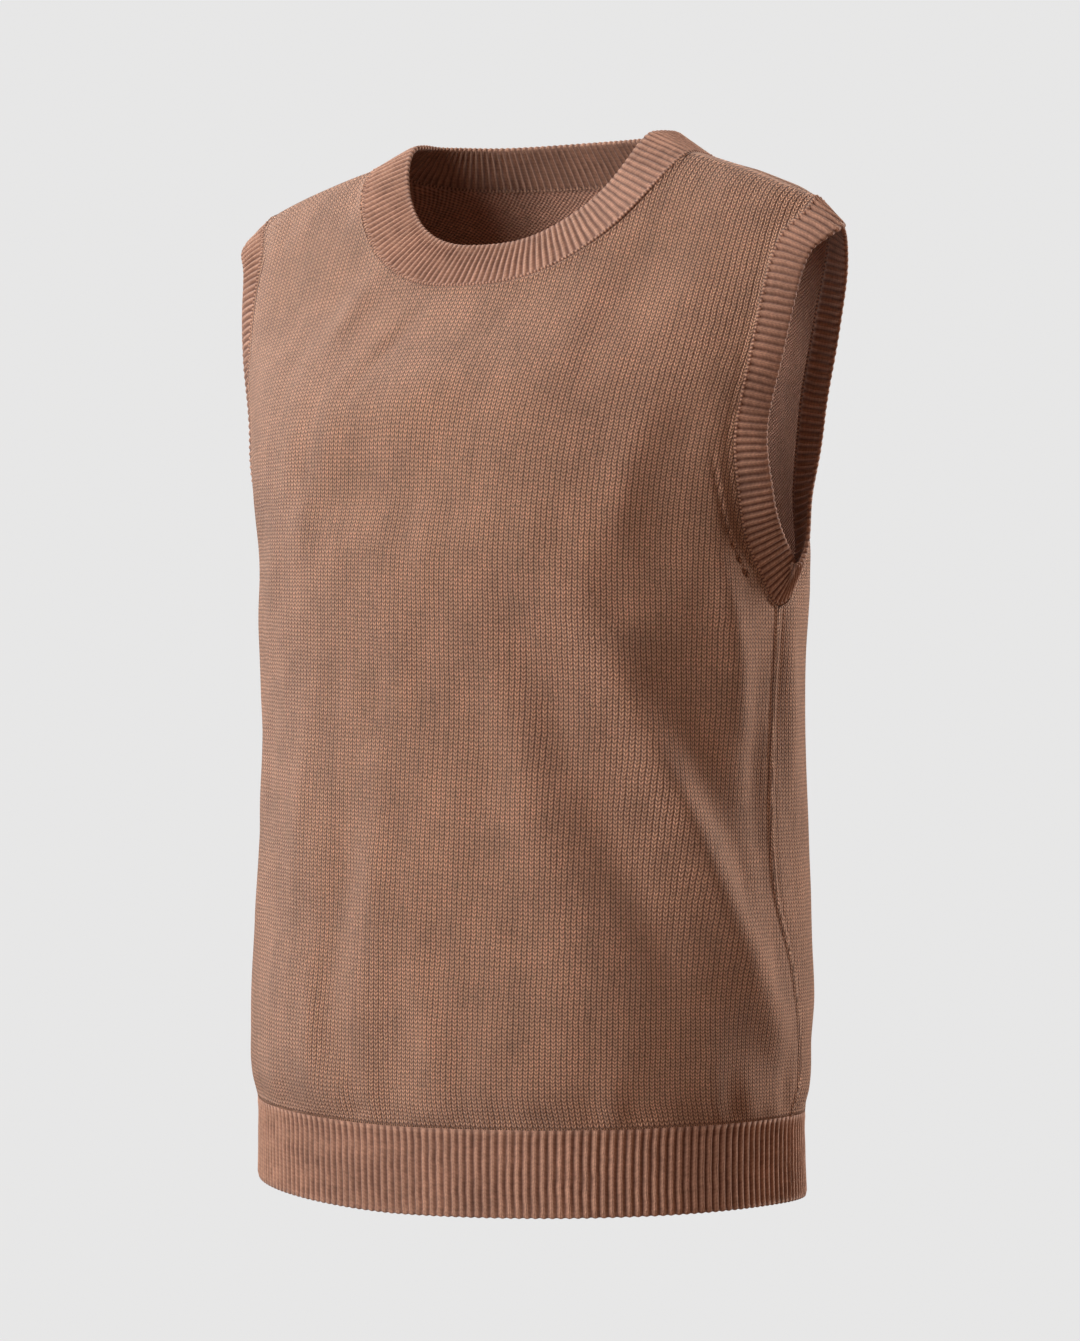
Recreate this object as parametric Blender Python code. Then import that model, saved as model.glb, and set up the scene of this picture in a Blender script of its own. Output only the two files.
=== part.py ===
"""A knitted sweater vest in its worn, hollow form.

Seven knitted pieces, each a thin closed wall: front and back panels, neckband, two armhole bands
and the ribs of the hem, front and back.

Frame: +Z up, the front faces -Y, +X is the wearer's left. The origin lies midway between the high
points of the shoulders, where the wearer holds the vest up. Tables and sizes are in millimetres
and degrees; the meshes are made in metres.
"""

import math
from typing import NamedTuple

import bpy
import numpy as np

MM = 0.001

# Heights under the shoulder points.
UNDERARM = -270.0
PANEL_FOOT = -553.0
HEM = -600.0

# Walls and seams.
PANEL_WALL = 2.0
RIB_WALL = 2.6
SEAM_GAP = 0.3
BAND_GAP = 0.45

# Half the width of the neck seam at the shoulders.
NECK_HALF_WIDTH = 110.0
NECKBAND_WIDTH = 29.5

# Shoulders: each one's drop from the neck to its tip, at the half width of the topmost section.
SHOULDER_TIP = 193.0
SHOULDER_DROP = {1: 48.5, -1: 38.5}
SHOULDER_BEND = 1.8

# The shoulder ridge ends short of its section's half width; the armhole seam nears it past a turn.
RIDGE_SHARE = 0.97
TIP_TURN = 140.0

# How far each end of the hem hangs above its middle, and the half width this is taken at.
HEM_RISE = {1: 3.5, -1: 11.0}
HEM_REACH = 160.0
HEM_BEND = 1.5

# The step over which a surface's slope is taken.
NORMAL_STEP = 0.5

# How finely the pieces are divided.
SECTION_SAMPLES = 181
NECK_SAMPLES = 46
NECK_COLUMNS = 11
SHOULDER_COLUMNS = 7
LOWER_ROWS = 11
UPPER_ROWS = 12
RIB_ROWS = 3
BAND_ROWS = 3

FRONT = "front"
BACK = "back"


class Section(NamedTuple):
    """One level cut through half of the body; the level is its height at the centre line."""

    level: float
    half_width: float
    depth: float
    squareness: float


SECTIONS = {
    FRONT: [
        Section(-600.0, 161.5, 131.0, 2.3),
        Section(-575.0, 160.5, 132.0, 2.3),
        Section(-553.0, 161.0, 133.0, 2.3),
        Section(-541.0, 164.5, 136.5, 2.3),
        Section(-510.0, 166.0, 137.0, 2.3),
        Section(-450.0, 163.5, 134.0, 2.3),
        Section(-380.0, 160.5, 130.0, 2.3),
        Section(-320.0, 161.5, 126.0, 2.3),
        Section(-270.0, 164.5, 126.0, 2.3),
        Section(-235.0, 164.5, 125.5, 2.35),
        Section(-200.0, 171.5, 120.0, 2.4),
        Section(-150.0, 178.0, 102.0, 2.6),
        Section(-93.0, 193.0, 67.0, 2.8),
        Section(-60.0, 200.0, 49.5, 2.9),
        Section(-30.0, 201.0, 34.0, 3.0),
        Section(-8.0, 199.0, 17.0, 3.0),
        Section(0.0, 193.0, 0.0, 3.0),
    ],
    BACK: [
        Section(-600.0, 161.5, 112.0, 2.3),
        Section(-575.0, 160.5, 111.5, 2.3),
        Section(-553.0, 161.0, 111.5, 2.3),
        Section(-541.0, 164.5, 114.5, 2.3),
        Section(-510.0, 166.0, 116.0, 2.3),
        Section(-450.0, 163.5, 117.0, 2.3),
        Section(-380.0, 160.5, 115.0, 2.3),
        Section(-320.0, 161.5, 108.0, 2.3),
        Section(-270.0, 164.5, 106.0, 2.3),
        Section(-235.0, 165.0, 106.0, 2.35),
        Section(-200.0, 161.5, 105.0, 2.4),
        Section(-150.0, 163.5, 102.0, 2.6),
        Section(-93.0, 172.5, 94.0, 2.8),
        Section(-60.0, 178.5, 85.0, 2.9),
        Section(-25.0, 186.0, 67.0, 3.0),
        Section(-7.0, 191.0, 36.0, 3.0),
        Section(0.0, 193.0, 0.0, 3.0),
    ],
}


class NeckCut(NamedTuple):
    """The neck seam of one side: its drop at the centre, and the powers that shape its curve."""

    drop: float
    spread: float
    scoop: float


NECK_CUT = {
    FRONT: NeckCut(91.0, 0.78, 1.5),
    BACK: NeckCut(25.0, 0.7, 0.7),
}


class SeamPlace(NamedTuple):
    """How far behind the widest point the side seam lies at a level."""

    level: float
    behind: float


SIDE_SEAM = [
    SeamPlace(-600.0, 19.0),
    SeamPlace(-490.0, 19.0),
    SeamPlace(-465.0, 14.0),
    SeamPlace(-435.0, 3.0),
    SeamPlace(-380.0, 0.0),
    SeamPlace(-270.0, 0.0),
]


class ArmholeCut(NamedTuple):
    """The armhole seam, followed from the underarm (turn 0) to the shoulder tip (turn 180)."""

    turn: float
    front_reach: float
    back_reach: float
    front_flare: float
    back_flare: float
    band_width: float


ARMHOLE = [
    ArmholeCut(0.0, 0.0, 0.0, 22.0, 22.0, 24.0),
    ArmholeCut(30.0, 16.0, 19.0, 30.0, 38.0, 22.0),
    ArmholeCut(60.0, 41.5, 26.5, 36.0, 57.0, 18.5),
    ArmholeCut(75.0, 47.5, 29.5, 30.0, 70.0, 17.5),
    ArmholeCut(90.0, 46.0, 29.0, 17.0, 77.0, 17.0),
    ArmholeCut(115.0, 37.0, 28.5, 10.0, 75.0, 17.0),
    ArmholeCut(135.0, 26.0, 29.5, 12.0, 54.0, 18.0),
    ArmholeCut(155.0, 13.0, 22.0, 12.0, 18.0, 21.0),
    ArmholeCut(180.0, 0.0, 0.0, -20.0, -24.0, 23.0),
]


class BandStand(NamedTuple):
    """How far the neckband stands off the surface it is linked to, round half of the neck."""

    turn: float
    stand: float


NECKBAND_STAND = [
    BandStand(0.0, -6.0),
    BandStand(30.0, -5.0),
    BandStand(60.0, -8.0),
    BandStand(90.0, 12.0),
    BandStand(120.0, 21.0),
    BandStand(150.0, 14.0),
    BandStand(180.0, 8.0),
]


class Fold(NamedTuple):
    """A soft ridge (positive height) or trough, from one place on the body to another."""

    from_azimuth: float
    from_height: float
    to_azimuth: float
    to_height: float
    width: float
    height: float


FOLD_RADIUS = 150.0
FOLDS = [
    # The long fold from the chest round to the wearer's left hip, with a trough on either side.
    Fold(45.0, -268.0, 87.0, -497.0, 14.0, 7.0),
    Fold(59.0, -236.0, 78.0, -430.0, 15.0, -4.5),
    Fold(34.0, -300.0, 67.0, -480.0, 15.0, -4.0),
    Fold(28.0, -316.0, 52.0, -519.0, 16.0, 2.5),
    Fold(23.0, -316.0, 27.0, -430.0, 17.0, -2.5),
    # The left side, under the armhole.
    Fold(72.0, -222.0, 80.0, -330.0, 9.0, 3.0),
    Fold(94.0, -275.0, 98.0, -370.0, 9.0, 2.5),
    Fold(84.0, -320.0, 86.0, -420.0, 9.0, -2.5),
    # The chest: from the neck's side, by the armholes and down the middle.
    Fold(70.0, -55.0, 53.0, -130.0, 15.0, -3.0),
    Fold(74.0, -84.0, 65.0, -135.0, 11.0, 2.5),
    Fold(30.0, -142.0, 21.0, -275.0, 30.0, 2.0),
    Fold(-50.0, -88.0, -48.0, -122.0, 14.0, 2.0),
    # The wearer's right of the front.
    Fold(-14.0, -351.0, -18.0, -505.0, 14.0, -3.0),
    Fold(-4.0, -363.0, -7.0, -525.0, 15.0, 2.5),
    # The right side and the back.
    Fold(-82.0, -280.0, -112.0, -490.0, 15.0, 5.0),
    Fold(-96.0, -250.0, -122.0, -430.0, 17.0, -4.0),
    Fold(212.0, -300.0, 178.0, -505.0, 17.0, 5.0),
    Fold(196.0, -270.0, 165.0, -450.0, 18.0, -4.0),
    Fold(156.0, -330.0, 146.0, -520.0, 17.0, 3.0),
    Fold(150.0, -110.0, 165.0, -190.0, 20.0, -3.0),
]


def slopes(keys, values):
    """Return the slope at each key of the curve through the values, flat-ended and unscaled."""
    steps = np.diff(values) / np.diff(keys)
    inner = (steps[:-1] * np.diff(keys)[1:] + steps[1:] * np.diff(keys)[:-1]) / (keys[2:] - keys[:-2])
    return np.concatenate(([steps[0]], inner, [steps[-1]]))


def curve_through(keys, values, at):
    """Read a smooth curve through (keys, values) at the given places."""
    keys = np.asarray(keys, dtype=float)
    values = np.asarray(values, dtype=float)
    at = np.clip(np.asarray(at, dtype=float), keys[0], keys[-1])
    tangents = slopes(keys, values)
    span = np.clip(np.searchsorted(keys, at, side="right") - 1, 0, len(keys) - 2)
    length = keys[span + 1] - keys[span]
    part = (at - keys[span]) / length
    start = (1 + 2 * part) * (1 - part) ** 2 * values[span]
    end = part**2 * (3 - 2 * part) * values[span + 1]
    start_slope = part * (1 - part) ** 2 * length * tangents[span]
    end_slope = part**2 * (part - 1) * length * tangents[span + 1]
    return start + end + start_slope + end_slope


def smooth_step(part):
    """Return 0 below part 0, 1 above part 1 and a smooth rise between them."""
    part = min(max(part, 0.0), 1.0)
    return part * part * (3 - 2 * part)


def path_of(level):
    """Return how far along a wale a level lies: 0 at the underarm, 1 on the shoulder ridge.

    Above the underarm the levels crowd towards the ridge, so that a section's depth can run out
    there as a round arch does.
    """
    level = np.asarray(level, dtype=float)
    rise = np.clip(1 - level / UNDERARM, 0, 1)
    above = np.arcsin(rise) / (math.pi / 2)
    below = (level - UNDERARM) / (-UNDERARM * math.pi / 2)
    return np.where(level > UNDERARM, above, below)


def section_at(side, level):
    """Return the half width, depth and squareness of a side's section at a level."""
    rows = SECTIONS[side]
    keys = path_of([row.level for row in rows])
    place = float(path_of(level))
    return [
        float(curve_through(keys, [getattr(row, name) for row in rows], place))
        for name in ("half_width", "depth", "squareness")
    ]


def armhole_turn(level):
    """Return the turn round the armhole, in degrees, at which its seam passes a level."""
    return math.degrees(math.acos(np.clip(2 * level / UNDERARM - 1, -1, 1)))


def armhole_value(name, turn):
    """Read one column of the armhole table at a turn."""
    return float(curve_through([row.turn for row in ARMHOLE], [getattr(row, name) for row in ARMHOLE], turn))


def half_section(side, level):
    """Return the points (x, y) of half a section, from the centre line to the piece's edge.

    Below the underarm the edge is the side seam, which may lie behind the widest point. Above it
    the edge is the armhole seam.
    """
    half_width, depth, squareness = section_at(side, level)
    power = 2 / squareness
    forward = -1 if side == FRONT else 1
    if level >= UNDERARM:
        turn = armhole_turn(level)
        turn_end = math.asin(RIDGE_SHARE ** (1 / power))
        if depth > 0:
            reach = armhole_value(side + "_reach", turn)
            at_seam = math.acos(min(max(reach / depth, 0.0), 1.0) ** (1 / power))
            turn_end += (at_seam - turn_end) * (1 - smooth_step((turn - TIP_TURN) / (180 - TIP_TURN)))
        turns = np.linspace(0, turn_end, SECTION_SAMPLES)
        return half_width * np.sin(turns) ** power, forward * depth * np.cos(turns) ** power
    places = curve_through([row.level for row in SIDE_SEAM], [row.behind for row in SIDE_SEAM], level)
    behind = max(float(places), 0.0)
    back_depth = section_at(BACK, level)[1]
    past = math.asin((behind / back_depth) ** (1 / power))
    turn_end = math.pi / 2 + (past if side == FRONT else -past)
    turns = np.linspace(0, turn_end, SECTION_SAMPLES)
    cosines = np.cos(turns)
    depths = np.where(cosines >= 0, forward * depth, back_depth)
    return half_width * np.sin(turns) ** power, depths * np.abs(cosines) ** power


def along(xs, ys):
    """Return the distance of each point of a flat curve from its start."""
    return np.concatenate(([0.0], np.cumsum(np.hypot(np.diff(xs), np.diff(ys)))))


def shoulder_height(x):
    """Return the height of the shoulder ridge at a distance from the centre line."""
    drop = SHOULDER_DROP[1] if x >= 0 else SHOULDER_DROP[-1]
    return -drop * (abs(x) / SHOULDER_TIP) ** SHOULDER_BEND


def height_of(level, x):
    """Return the true height of a level at a distance from the centre line."""
    if level <= UNDERARM:
        hang = HEM_RISE[1 if x >= 0 else -1] * (abs(x) / HEM_REACH) ** HEM_BEND
        return level + hang * ((UNDERARM - level) / (UNDERARM - HEM)) ** 2
    rise = 1 - level / UNDERARM
    return UNDERARM + (shoulder_height(x) - UNDERARM) * rise


def level_of(height, x):
    """Return the level that has this height at a distance from the centre line."""
    rise = (height - UNDERARM) / (shoulder_height(x) - UNDERARM)
    return UNDERARM * (1 - min(rise, 1.0))


def surface_point(side, share, level):
    """Return the point on a side's surface at a signed share of its width, before the folds."""
    xs, ys = half_section(side, level)
    run = along(xs, ys)
    place = abs(share) * run[-1]
    x = math.copysign(np.interp(place, run, xs), share)
    return np.array([x, np.interp(place, run, ys), height_of(level, x)])


def neck_place(side, turn, sign):
    """Return the share, level and point of the neck seam at a turn from the centre line (0 to 90)."""
    cut = NECK_CUT[side]
    angle = math.radians(turn)
    x = sign * NECK_HALF_WIDTH * math.sin(angle) ** cut.spread
    top = shoulder_height(sign * NECK_HALF_WIDTH)
    height = top - (cut.drop + top) * math.cos(angle) ** cut.scoop
    level = level_of(height, x)
    xs, ys = half_section(side, level)
    run = along(xs, ys)
    place = np.interp(abs(x), xs, run)
    return place / run[-1], level, np.array([x, np.interp(place, run, ys), height])


def neck_columns(side, sign):
    """Return the share and level of each column's end on half of the neck seam, evenly spaced."""
    turns = np.linspace(0, 90, NECK_SAMPLES)
    places = [neck_place(side, turn, sign) for turn in turns]
    points = np.array([point for _, _, point in places])
    run = np.concatenate(([0.0], np.cumsum(np.linalg.norm(np.diff(points, axis=0), axis=1))))
    even = np.interp(np.linspace(0, run[-1], NECK_COLUMNS + 1), run, turns)
    return [neck_place(side, turn, sign)[:2] for turn in even]


def top_edges(side, sign):
    """Return the share and level where each column ends, from the centre line to the armhole."""
    edges = neck_columns(side, sign)
    start = edges[-1][0]
    for column in range(1, SHOULDER_COLUMNS + 1):
        edges.append((start + (1 - start) * column / SHOULDER_COLUMNS, 0.0))
    return edges


def fold_height(point):
    """Return how far the folds lift the surface at a point of the body."""
    azimuth = math.degrees(math.atan2(point[0], -point[1]))
    lift = 0.0
    for fold in FOLDS:
        middle = (fold.from_azimuth + fold.to_azimuth) / 2
        turn = (azimuth - middle + 180) % 360 - 180 + middle
        scale = math.radians(1) * FOLD_RADIUS
        run = np.array([(fold.to_azimuth - fold.from_azimuth) * scale, fold.to_height - fold.from_height])
        place = np.array([(turn - fold.from_azimuth) * scale, point[2] - fold.from_height])
        length = np.linalg.norm(run)
        forward = place @ run / length
        aside = (place[0] * run[1] - place[1] * run[0]) / length
        past = max(-forward, forward - length, 0.0)
        inside = min(max(forward, 0.0), length) / length
        body = math.sin(math.pi * (0.15 + 0.7 * inside))
        lift += fold.height * body * math.exp(-((aside / fold.width) ** 2) - (past / (1.5 * fold.width)) ** 2)
    fade = min(max((point[2] - PANEL_FOOT) / 40.0, 0.0), 1.0)
    return lift * fade


def surface_normal(side, share, level):
    """Return the unit normal, facing out, of the body before its folds."""
    step = NORMAL_STEP
    if level > -step:
        x = surface_point(side, share, 0.0)[0]
        slope = (shoulder_height(x + step) - shoulder_height(x - step)) / (2 * step)
        normal = np.array([-slope, 0.0, 1.0])
    else:
        aside = step / HEM_REACH
        across = surface_point(side, share + aside, level) - surface_point(side, share - aside, level)
        up = surface_point(side, share, level + step) - surface_point(side, share, level - step)
        normal = np.cross(across, up) * (1 if side == FRONT else -1)
    return normal / np.linalg.norm(normal)


def panel_places(side):
    """Return the (share, level) of each point of a panel.

    Rows run from its foot up, columns from -X to +X.
    """
    half = NECK_COLUMNS + SHOULDER_COLUMNS
    columns = range(-half, half + 1)
    lower = [PANEL_FOOT + (UNDERARM - PANEL_FOOT) * row / LOWER_ROWS for row in range(LOWER_ROWS)]
    rows = [[(column / half, level) for column in columns] for level in lower]
    ends = {sign: top_edges(side, sign) for sign in (1, -1)}
    tops = [ends[1 if column >= 0 else -1][abs(column)] for column in columns]
    for row in range(UPPER_ROWS + 1):
        part = (1 - math.cos(math.pi * row / UPPER_ROWS)) / 2
        places = []
        for column, (top_share, top_level) in zip(columns, tops):
            share = abs(column) / half
            share += (top_share - share) * part**2
            places.append((math.copysign(share, column), UNDERARM + (top_level - UNDERARM) * part))
        rows.append(places)
    return rows


def rib_places():
    """Return the (share, level) of each point of a hem rib, from the hem up to the panel's foot."""
    half = NECK_COLUMNS + SHOULDER_COLUMNS
    levels = [HEM + (PANEL_FOOT - HEM) * row / RIB_ROWS for row in range(RIB_ROWS + 1)]
    return [[(column / half, level) for column in range(-half, half + 1)] for level in levels]


def surface_grid(side, places):
    """Return the outer points and the normals of a side's surface, folds included, at its places."""
    normals = np.array([[surface_normal(side, *place) for place in row] for row in places])
    grid = np.array([[surface_point(side, *place) for place in row] for row in places])
    lifts = np.array([[fold_height(point) for point in row] for row in grid])
    return grid + normals * lifts[:, :, None], normals


def share_seams(points, seams):
    """Give both sides the same values wherever they meet: at each (rows, columns) of seams."""
    for rows, columns in seams:
        middle = (points[FRONT][rows, columns] + points[BACK][rows, columns]) / 2
        for side in points:
            points[side][rows, columns] = middle


def both_sides(places, seams):
    """Return the outer points and the normals of both sides, equal where the sides meet."""
    surfaces = {side: surface_grid(side, places[side]) for side in (FRONT, BACK)}
    grids, normals = ({side: surfaces[side][part] for side in surfaces} for part in (0, 1))
    share_seams(grids, seams)
    share_seams(normals, seams)
    return grids, normals


def pull_in(grid, distance):
    """Move the outermost points of a grid towards their inner neighbours by a distance."""
    grid = grid.copy()
    for edge, inner in ((0, 1), (-1, -2)):
        step = grid[inner] - grid[edge]
        grid[edge] += step / np.linalg.norm(step, axis=1, keepdims=True) * distance
    for edge, inner in ((0, 1), (-1, -2)):
        step = grid[:, inner] - grid[:, edge]
        grid[:, edge] += step / np.linalg.norm(step, axis=1, keepdims=True) * distance
    return grid


def shell(outer, inner, closed=False):
    """Return the vertices and faces of a wall between two grids.

    Rows are the first index. A closed wall joins its last column to its first.
    """
    rows, columns = outer.shape[:2]
    vertices = np.concatenate((outer.reshape(-1, 3), inner.reshape(-1, 3)))
    back = rows * columns
    faces = []
    last = columns if closed else columns - 1
    for row in range(rows - 1):
        for column in range(last):
            right = (column + 1) % columns
            a, b = row * columns + column, row * columns + right
            c, d = b + columns, a + columns
            faces.append((a, b, c, d))
            faces.append((back + d, back + c, back + b, back + a))
    for column in range(last):
        right = (column + 1) % columns
        faces.append((column, back + column, back + right, right))
        top = (rows - 1) * columns
        faces.append((top + right, back + top + right, back + top + column, top + column))
    if not closed:
        for row in range(rows - 1):
            a, b = row * columns, (row + 1) * columns
            faces.append((a, b, back + b, back + a))
            c, d = a + columns - 1, b + columns - 1
            faces.append((c, back + c, back + d, d))
    return vertices, faces


def add_piece(name, vertices, faces, material):
    """Make an object of a wall whose sizes are in millimetres."""
    mesh = bpy.data.meshes.new(name)
    mesh.from_pydata((vertices * MM).tolist(), [], faces)
    mesh.update()
    mesh.materials.append(material)
    mesh.shade_smooth()
    piece = bpy.data.objects.new(name, mesh)
    bpy.context.scene.collection.objects.link(piece)
    return piece


def knit_material(name, colour, roughness):
    """Return the material of one knitted piece."""
    material = bpy.data.materials.new(name)
    material.use_nodes = True
    shader = material.node_tree.nodes["Principled BSDF"]
    shader.inputs["Base Color"].default_value = (*colour, 1.0)
    shader.inputs["Roughness"].default_value = roughness
    shader.inputs["Metallic"].default_value = 0.0
    return material


def add_wall(name, side, grid, normals, thickness, material):
    """Build one side's wall, held back from its neighbours by the seam gap."""
    outer = pull_in(grid, SEAM_GAP / 2)
    inner = outer - normals * thickness
    if side == BACK:
        outer, inner = outer[:, ::-1], inner[:, ::-1]
    vertices, faces = shell(outer, inner)
    add_piece(name, vertices, faces, material)


def turned(directions, axes, degrees):
    """Return directions turned about their unit axes by the given angles."""
    angles = np.radians(degrees)[:, None]
    across = np.cross(axes, directions)
    return directions * np.cos(angles) + across * np.sin(angles)


def ring_directions(seam, normals):
    """Return for each point of a closed seam its tangent, and the way across it, in the surface."""
    tangents = np.roll(seam, -1, axis=0) - np.roll(seam, 1, axis=0)
    tangents /= np.linalg.norm(tangents, axis=1, keepdims=True)
    across = np.cross(normals, tangents)
    across /= np.linalg.norm(across, axis=1, keepdims=True)
    return tangents, across


def add_band(name, seam, normals, width, lift, material):
    """Build a ribbed band on a closed seam that runs anticlockwise seen from outside.

    width gives how wide it is at each point of the seam, and lift turns it off the surface there.
    """
    tangents, across = ring_directions(seam, normals)
    place = seam + across * BAND_GAP
    way = turned(across, tangents, lift) * width[:, None]
    outer = np.array([place + way * row / BAND_ROWS for row in range(BAND_ROWS + 1)])
    facing = [normals]
    for row in range(1, BAND_ROWS + 1):
        way = outer[row] - outer[row - 1]
        face = np.cross(tangents, way)
        facing.append(face / np.linalg.norm(face, axis=1, keepdims=True))
    inner = outer - np.array(facing) * RIB_WALL
    vertices, faces = shell(outer, inner, closed=True)
    add_piece(name, vertices, faces, material)


def neck_seam(grids, normals):
    """Return the closed neck seam and its normals, anticlockwise seen from above.

    The front's neck runs from the wearer's right to the left, then the back's returns.
    """
    columns = slice(SHOULDER_COLUMNS, SHOULDER_COLUMNS + 2 * NECK_COLUMNS + 1)
    return [
        np.concatenate((part[FRONT][-1, columns], part[BACK][-1, columns][::-1][1:-1]))
        for part in (grids, normals)
    ]


def neckband_lift():
    """Return the neckband's stand at each point of its seam, the front's middle being turn 0."""
    front = np.abs(np.linspace(-90, 90, 2 * NECK_COLUMNS + 1))
    turns = np.concatenate((front, 180 - front[1:-1]))
    return curve_through([row.turn for row in NECKBAND_STAND], [row.stand for row in NECKBAND_STAND], turns)


def armhole_seam(grids, normals, side):
    """Return one closed armhole seam, anticlockwise from outside, with its normals.

    The band's flare and width at each point follow.
    """
    column = -1 if side > 0 else 0
    seam, facing = (
        np.concatenate((part[BACK][LOWER_ROWS:, column], part[FRONT][LOWER_ROWS:, column][::-1][1:-1]))
        for part in (grids, normals)
    )
    turns = np.linspace(0, 180, UPPER_ROWS + 1)
    back = [(armhole_value("back_flare", turn), armhole_value("band_width", turn)) for turn in turns]
    front = [(armhole_value("front_flare", turn), armhole_value("band_width", turn)) for turn in turns]
    stand = np.array(back + front[::-1][1:-1])
    if side < 0:
        seam, facing, stand = (np.roll(part[::-1], 1, axis=0) for part in (seam, facing, stand))
    return seam, facing, stand[:, 0], stand[:, 1]


def main():
    """Build the vest."""
    for item in list(bpy.data.objects):
        bpy.data.objects.remove(item, do_unlink=True)
    cloth = (0.30, 0.155, 0.105)
    rib = (0.27, 0.135, 0.09)
    sides = [(slice(0, LOWER_ROWS + 1), 0), (slice(0, LOWER_ROWS + 1), -1)]
    shoulders = [(-1, slice(0, SHOULDER_COLUMNS + 1)), (-1, slice(-SHOULDER_COLUMNS - 1, None))]
    panels, normals = both_sides({side: panel_places(side) for side in (FRONT, BACK)}, sides + shoulders)
    ribs, rib_normals = both_sides({side: rib_places() for side in (FRONT, BACK)}, sides)
    for side in (FRONT, BACK):
        name = side + "_panel"
        add_wall(name, side, panels[side], normals[side], PANEL_WALL, knit_material(name, cloth, 0.9))
        name = "hem_rib_" + side
        add_wall(name, side, ribs[side], rib_normals[side], RIB_WALL, knit_material(name, rib, 0.9))
    seam, facing = neck_seam(panels, normals)
    width = np.full(len(seam), NECKBAND_WIDTH)
    add_band("neckband", seam, facing, width, neckband_lift(), knit_material("neckband", rib, 0.9))
    for name, side in (("armhole_band_left", 1), ("armhole_band_right", -1)):
        seam, facing, flare, width = armhole_seam(panels, normals, side)
        add_band(name, seam, facing, width, flare, knit_material(name, rib, 0.9))


main()
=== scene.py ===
"""Looks of a knitted sweater vest, hollow, in the form it has when it is worn.

Seven knitted pieces are built as thin shells on one body form: the front and back panels in plain
stitch, and the neckband, armhole bands and hem ribs in one-by-one rib. Sizes are in millimetres
and degrees unless a name says otherwise; meshes are in metres, +Z up, with the front facing -Y.
"""

import logging
import math
from dataclasses import dataclass, field
from enum import Enum
from typing import NamedTuple, Sequence

import bpy
import numpy as np
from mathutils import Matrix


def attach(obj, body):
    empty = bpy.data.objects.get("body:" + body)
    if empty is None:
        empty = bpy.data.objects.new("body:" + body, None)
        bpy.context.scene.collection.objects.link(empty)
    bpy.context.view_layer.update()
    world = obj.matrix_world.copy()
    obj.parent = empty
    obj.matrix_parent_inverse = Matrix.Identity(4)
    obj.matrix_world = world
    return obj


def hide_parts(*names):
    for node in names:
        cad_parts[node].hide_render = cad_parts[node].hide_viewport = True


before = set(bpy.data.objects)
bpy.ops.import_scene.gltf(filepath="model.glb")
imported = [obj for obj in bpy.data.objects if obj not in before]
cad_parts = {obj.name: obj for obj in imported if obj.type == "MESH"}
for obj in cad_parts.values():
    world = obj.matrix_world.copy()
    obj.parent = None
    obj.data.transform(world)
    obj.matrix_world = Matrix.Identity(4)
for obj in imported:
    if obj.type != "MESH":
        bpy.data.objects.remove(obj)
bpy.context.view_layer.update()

MM = 0.001
LOG = logging.getLogger("vest")


class Side(Enum):
    """Which half of the body a panel covers; the value is the sign of Y on it."""

    FRONT = -1
    BACK = 1


class Stitch(Enum):
    """The knitted structure that shows on a face."""

    JERSEY = "jersey"
    PURL = "purl"
    RIB = "rib"


# Heights below the shoulder points.
UNDERARM = -270.0
PANEL_FOOT = -553.0
HEM = -600.0

PANEL_WALL = 2.0
RIB_WALL = 2.6
# The angles at which points lie round a rib's free edge, from its outer face to its inner one.
EDGE_TURNS = [60.0, 30.0, 0.0, -30.0, -60.0]

# Knit gauge: one wale is a stitch wide, one course a stitch high, and a rib is two wales.
WALE = 3.0
COURSE = 2.15
HEM_RIB = 4.7
TRIM_RIB = 4.4

NECK_HALF_WIDTH = 110.0
NECKBAND_WIDTH = 29.5
SHOULDER_TIP = 193.0
SHOULDER_DROP = {1: 48.5, -1: 38.5}
SHOULDER_BEND = 1.8
RIDGE_SHARE = 0.97
TIP_TURN = 140.0
HEM_RISE = {1: 3.5, -1: 11.0}
HEM_REACH = 160.0
HEM_BEND = 1.5


class Section(NamedTuple):
    """One level cut through half of the body; the level is its height at the centre line."""

    level: float
    half_width: float
    depth: float
    squareness: float


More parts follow.
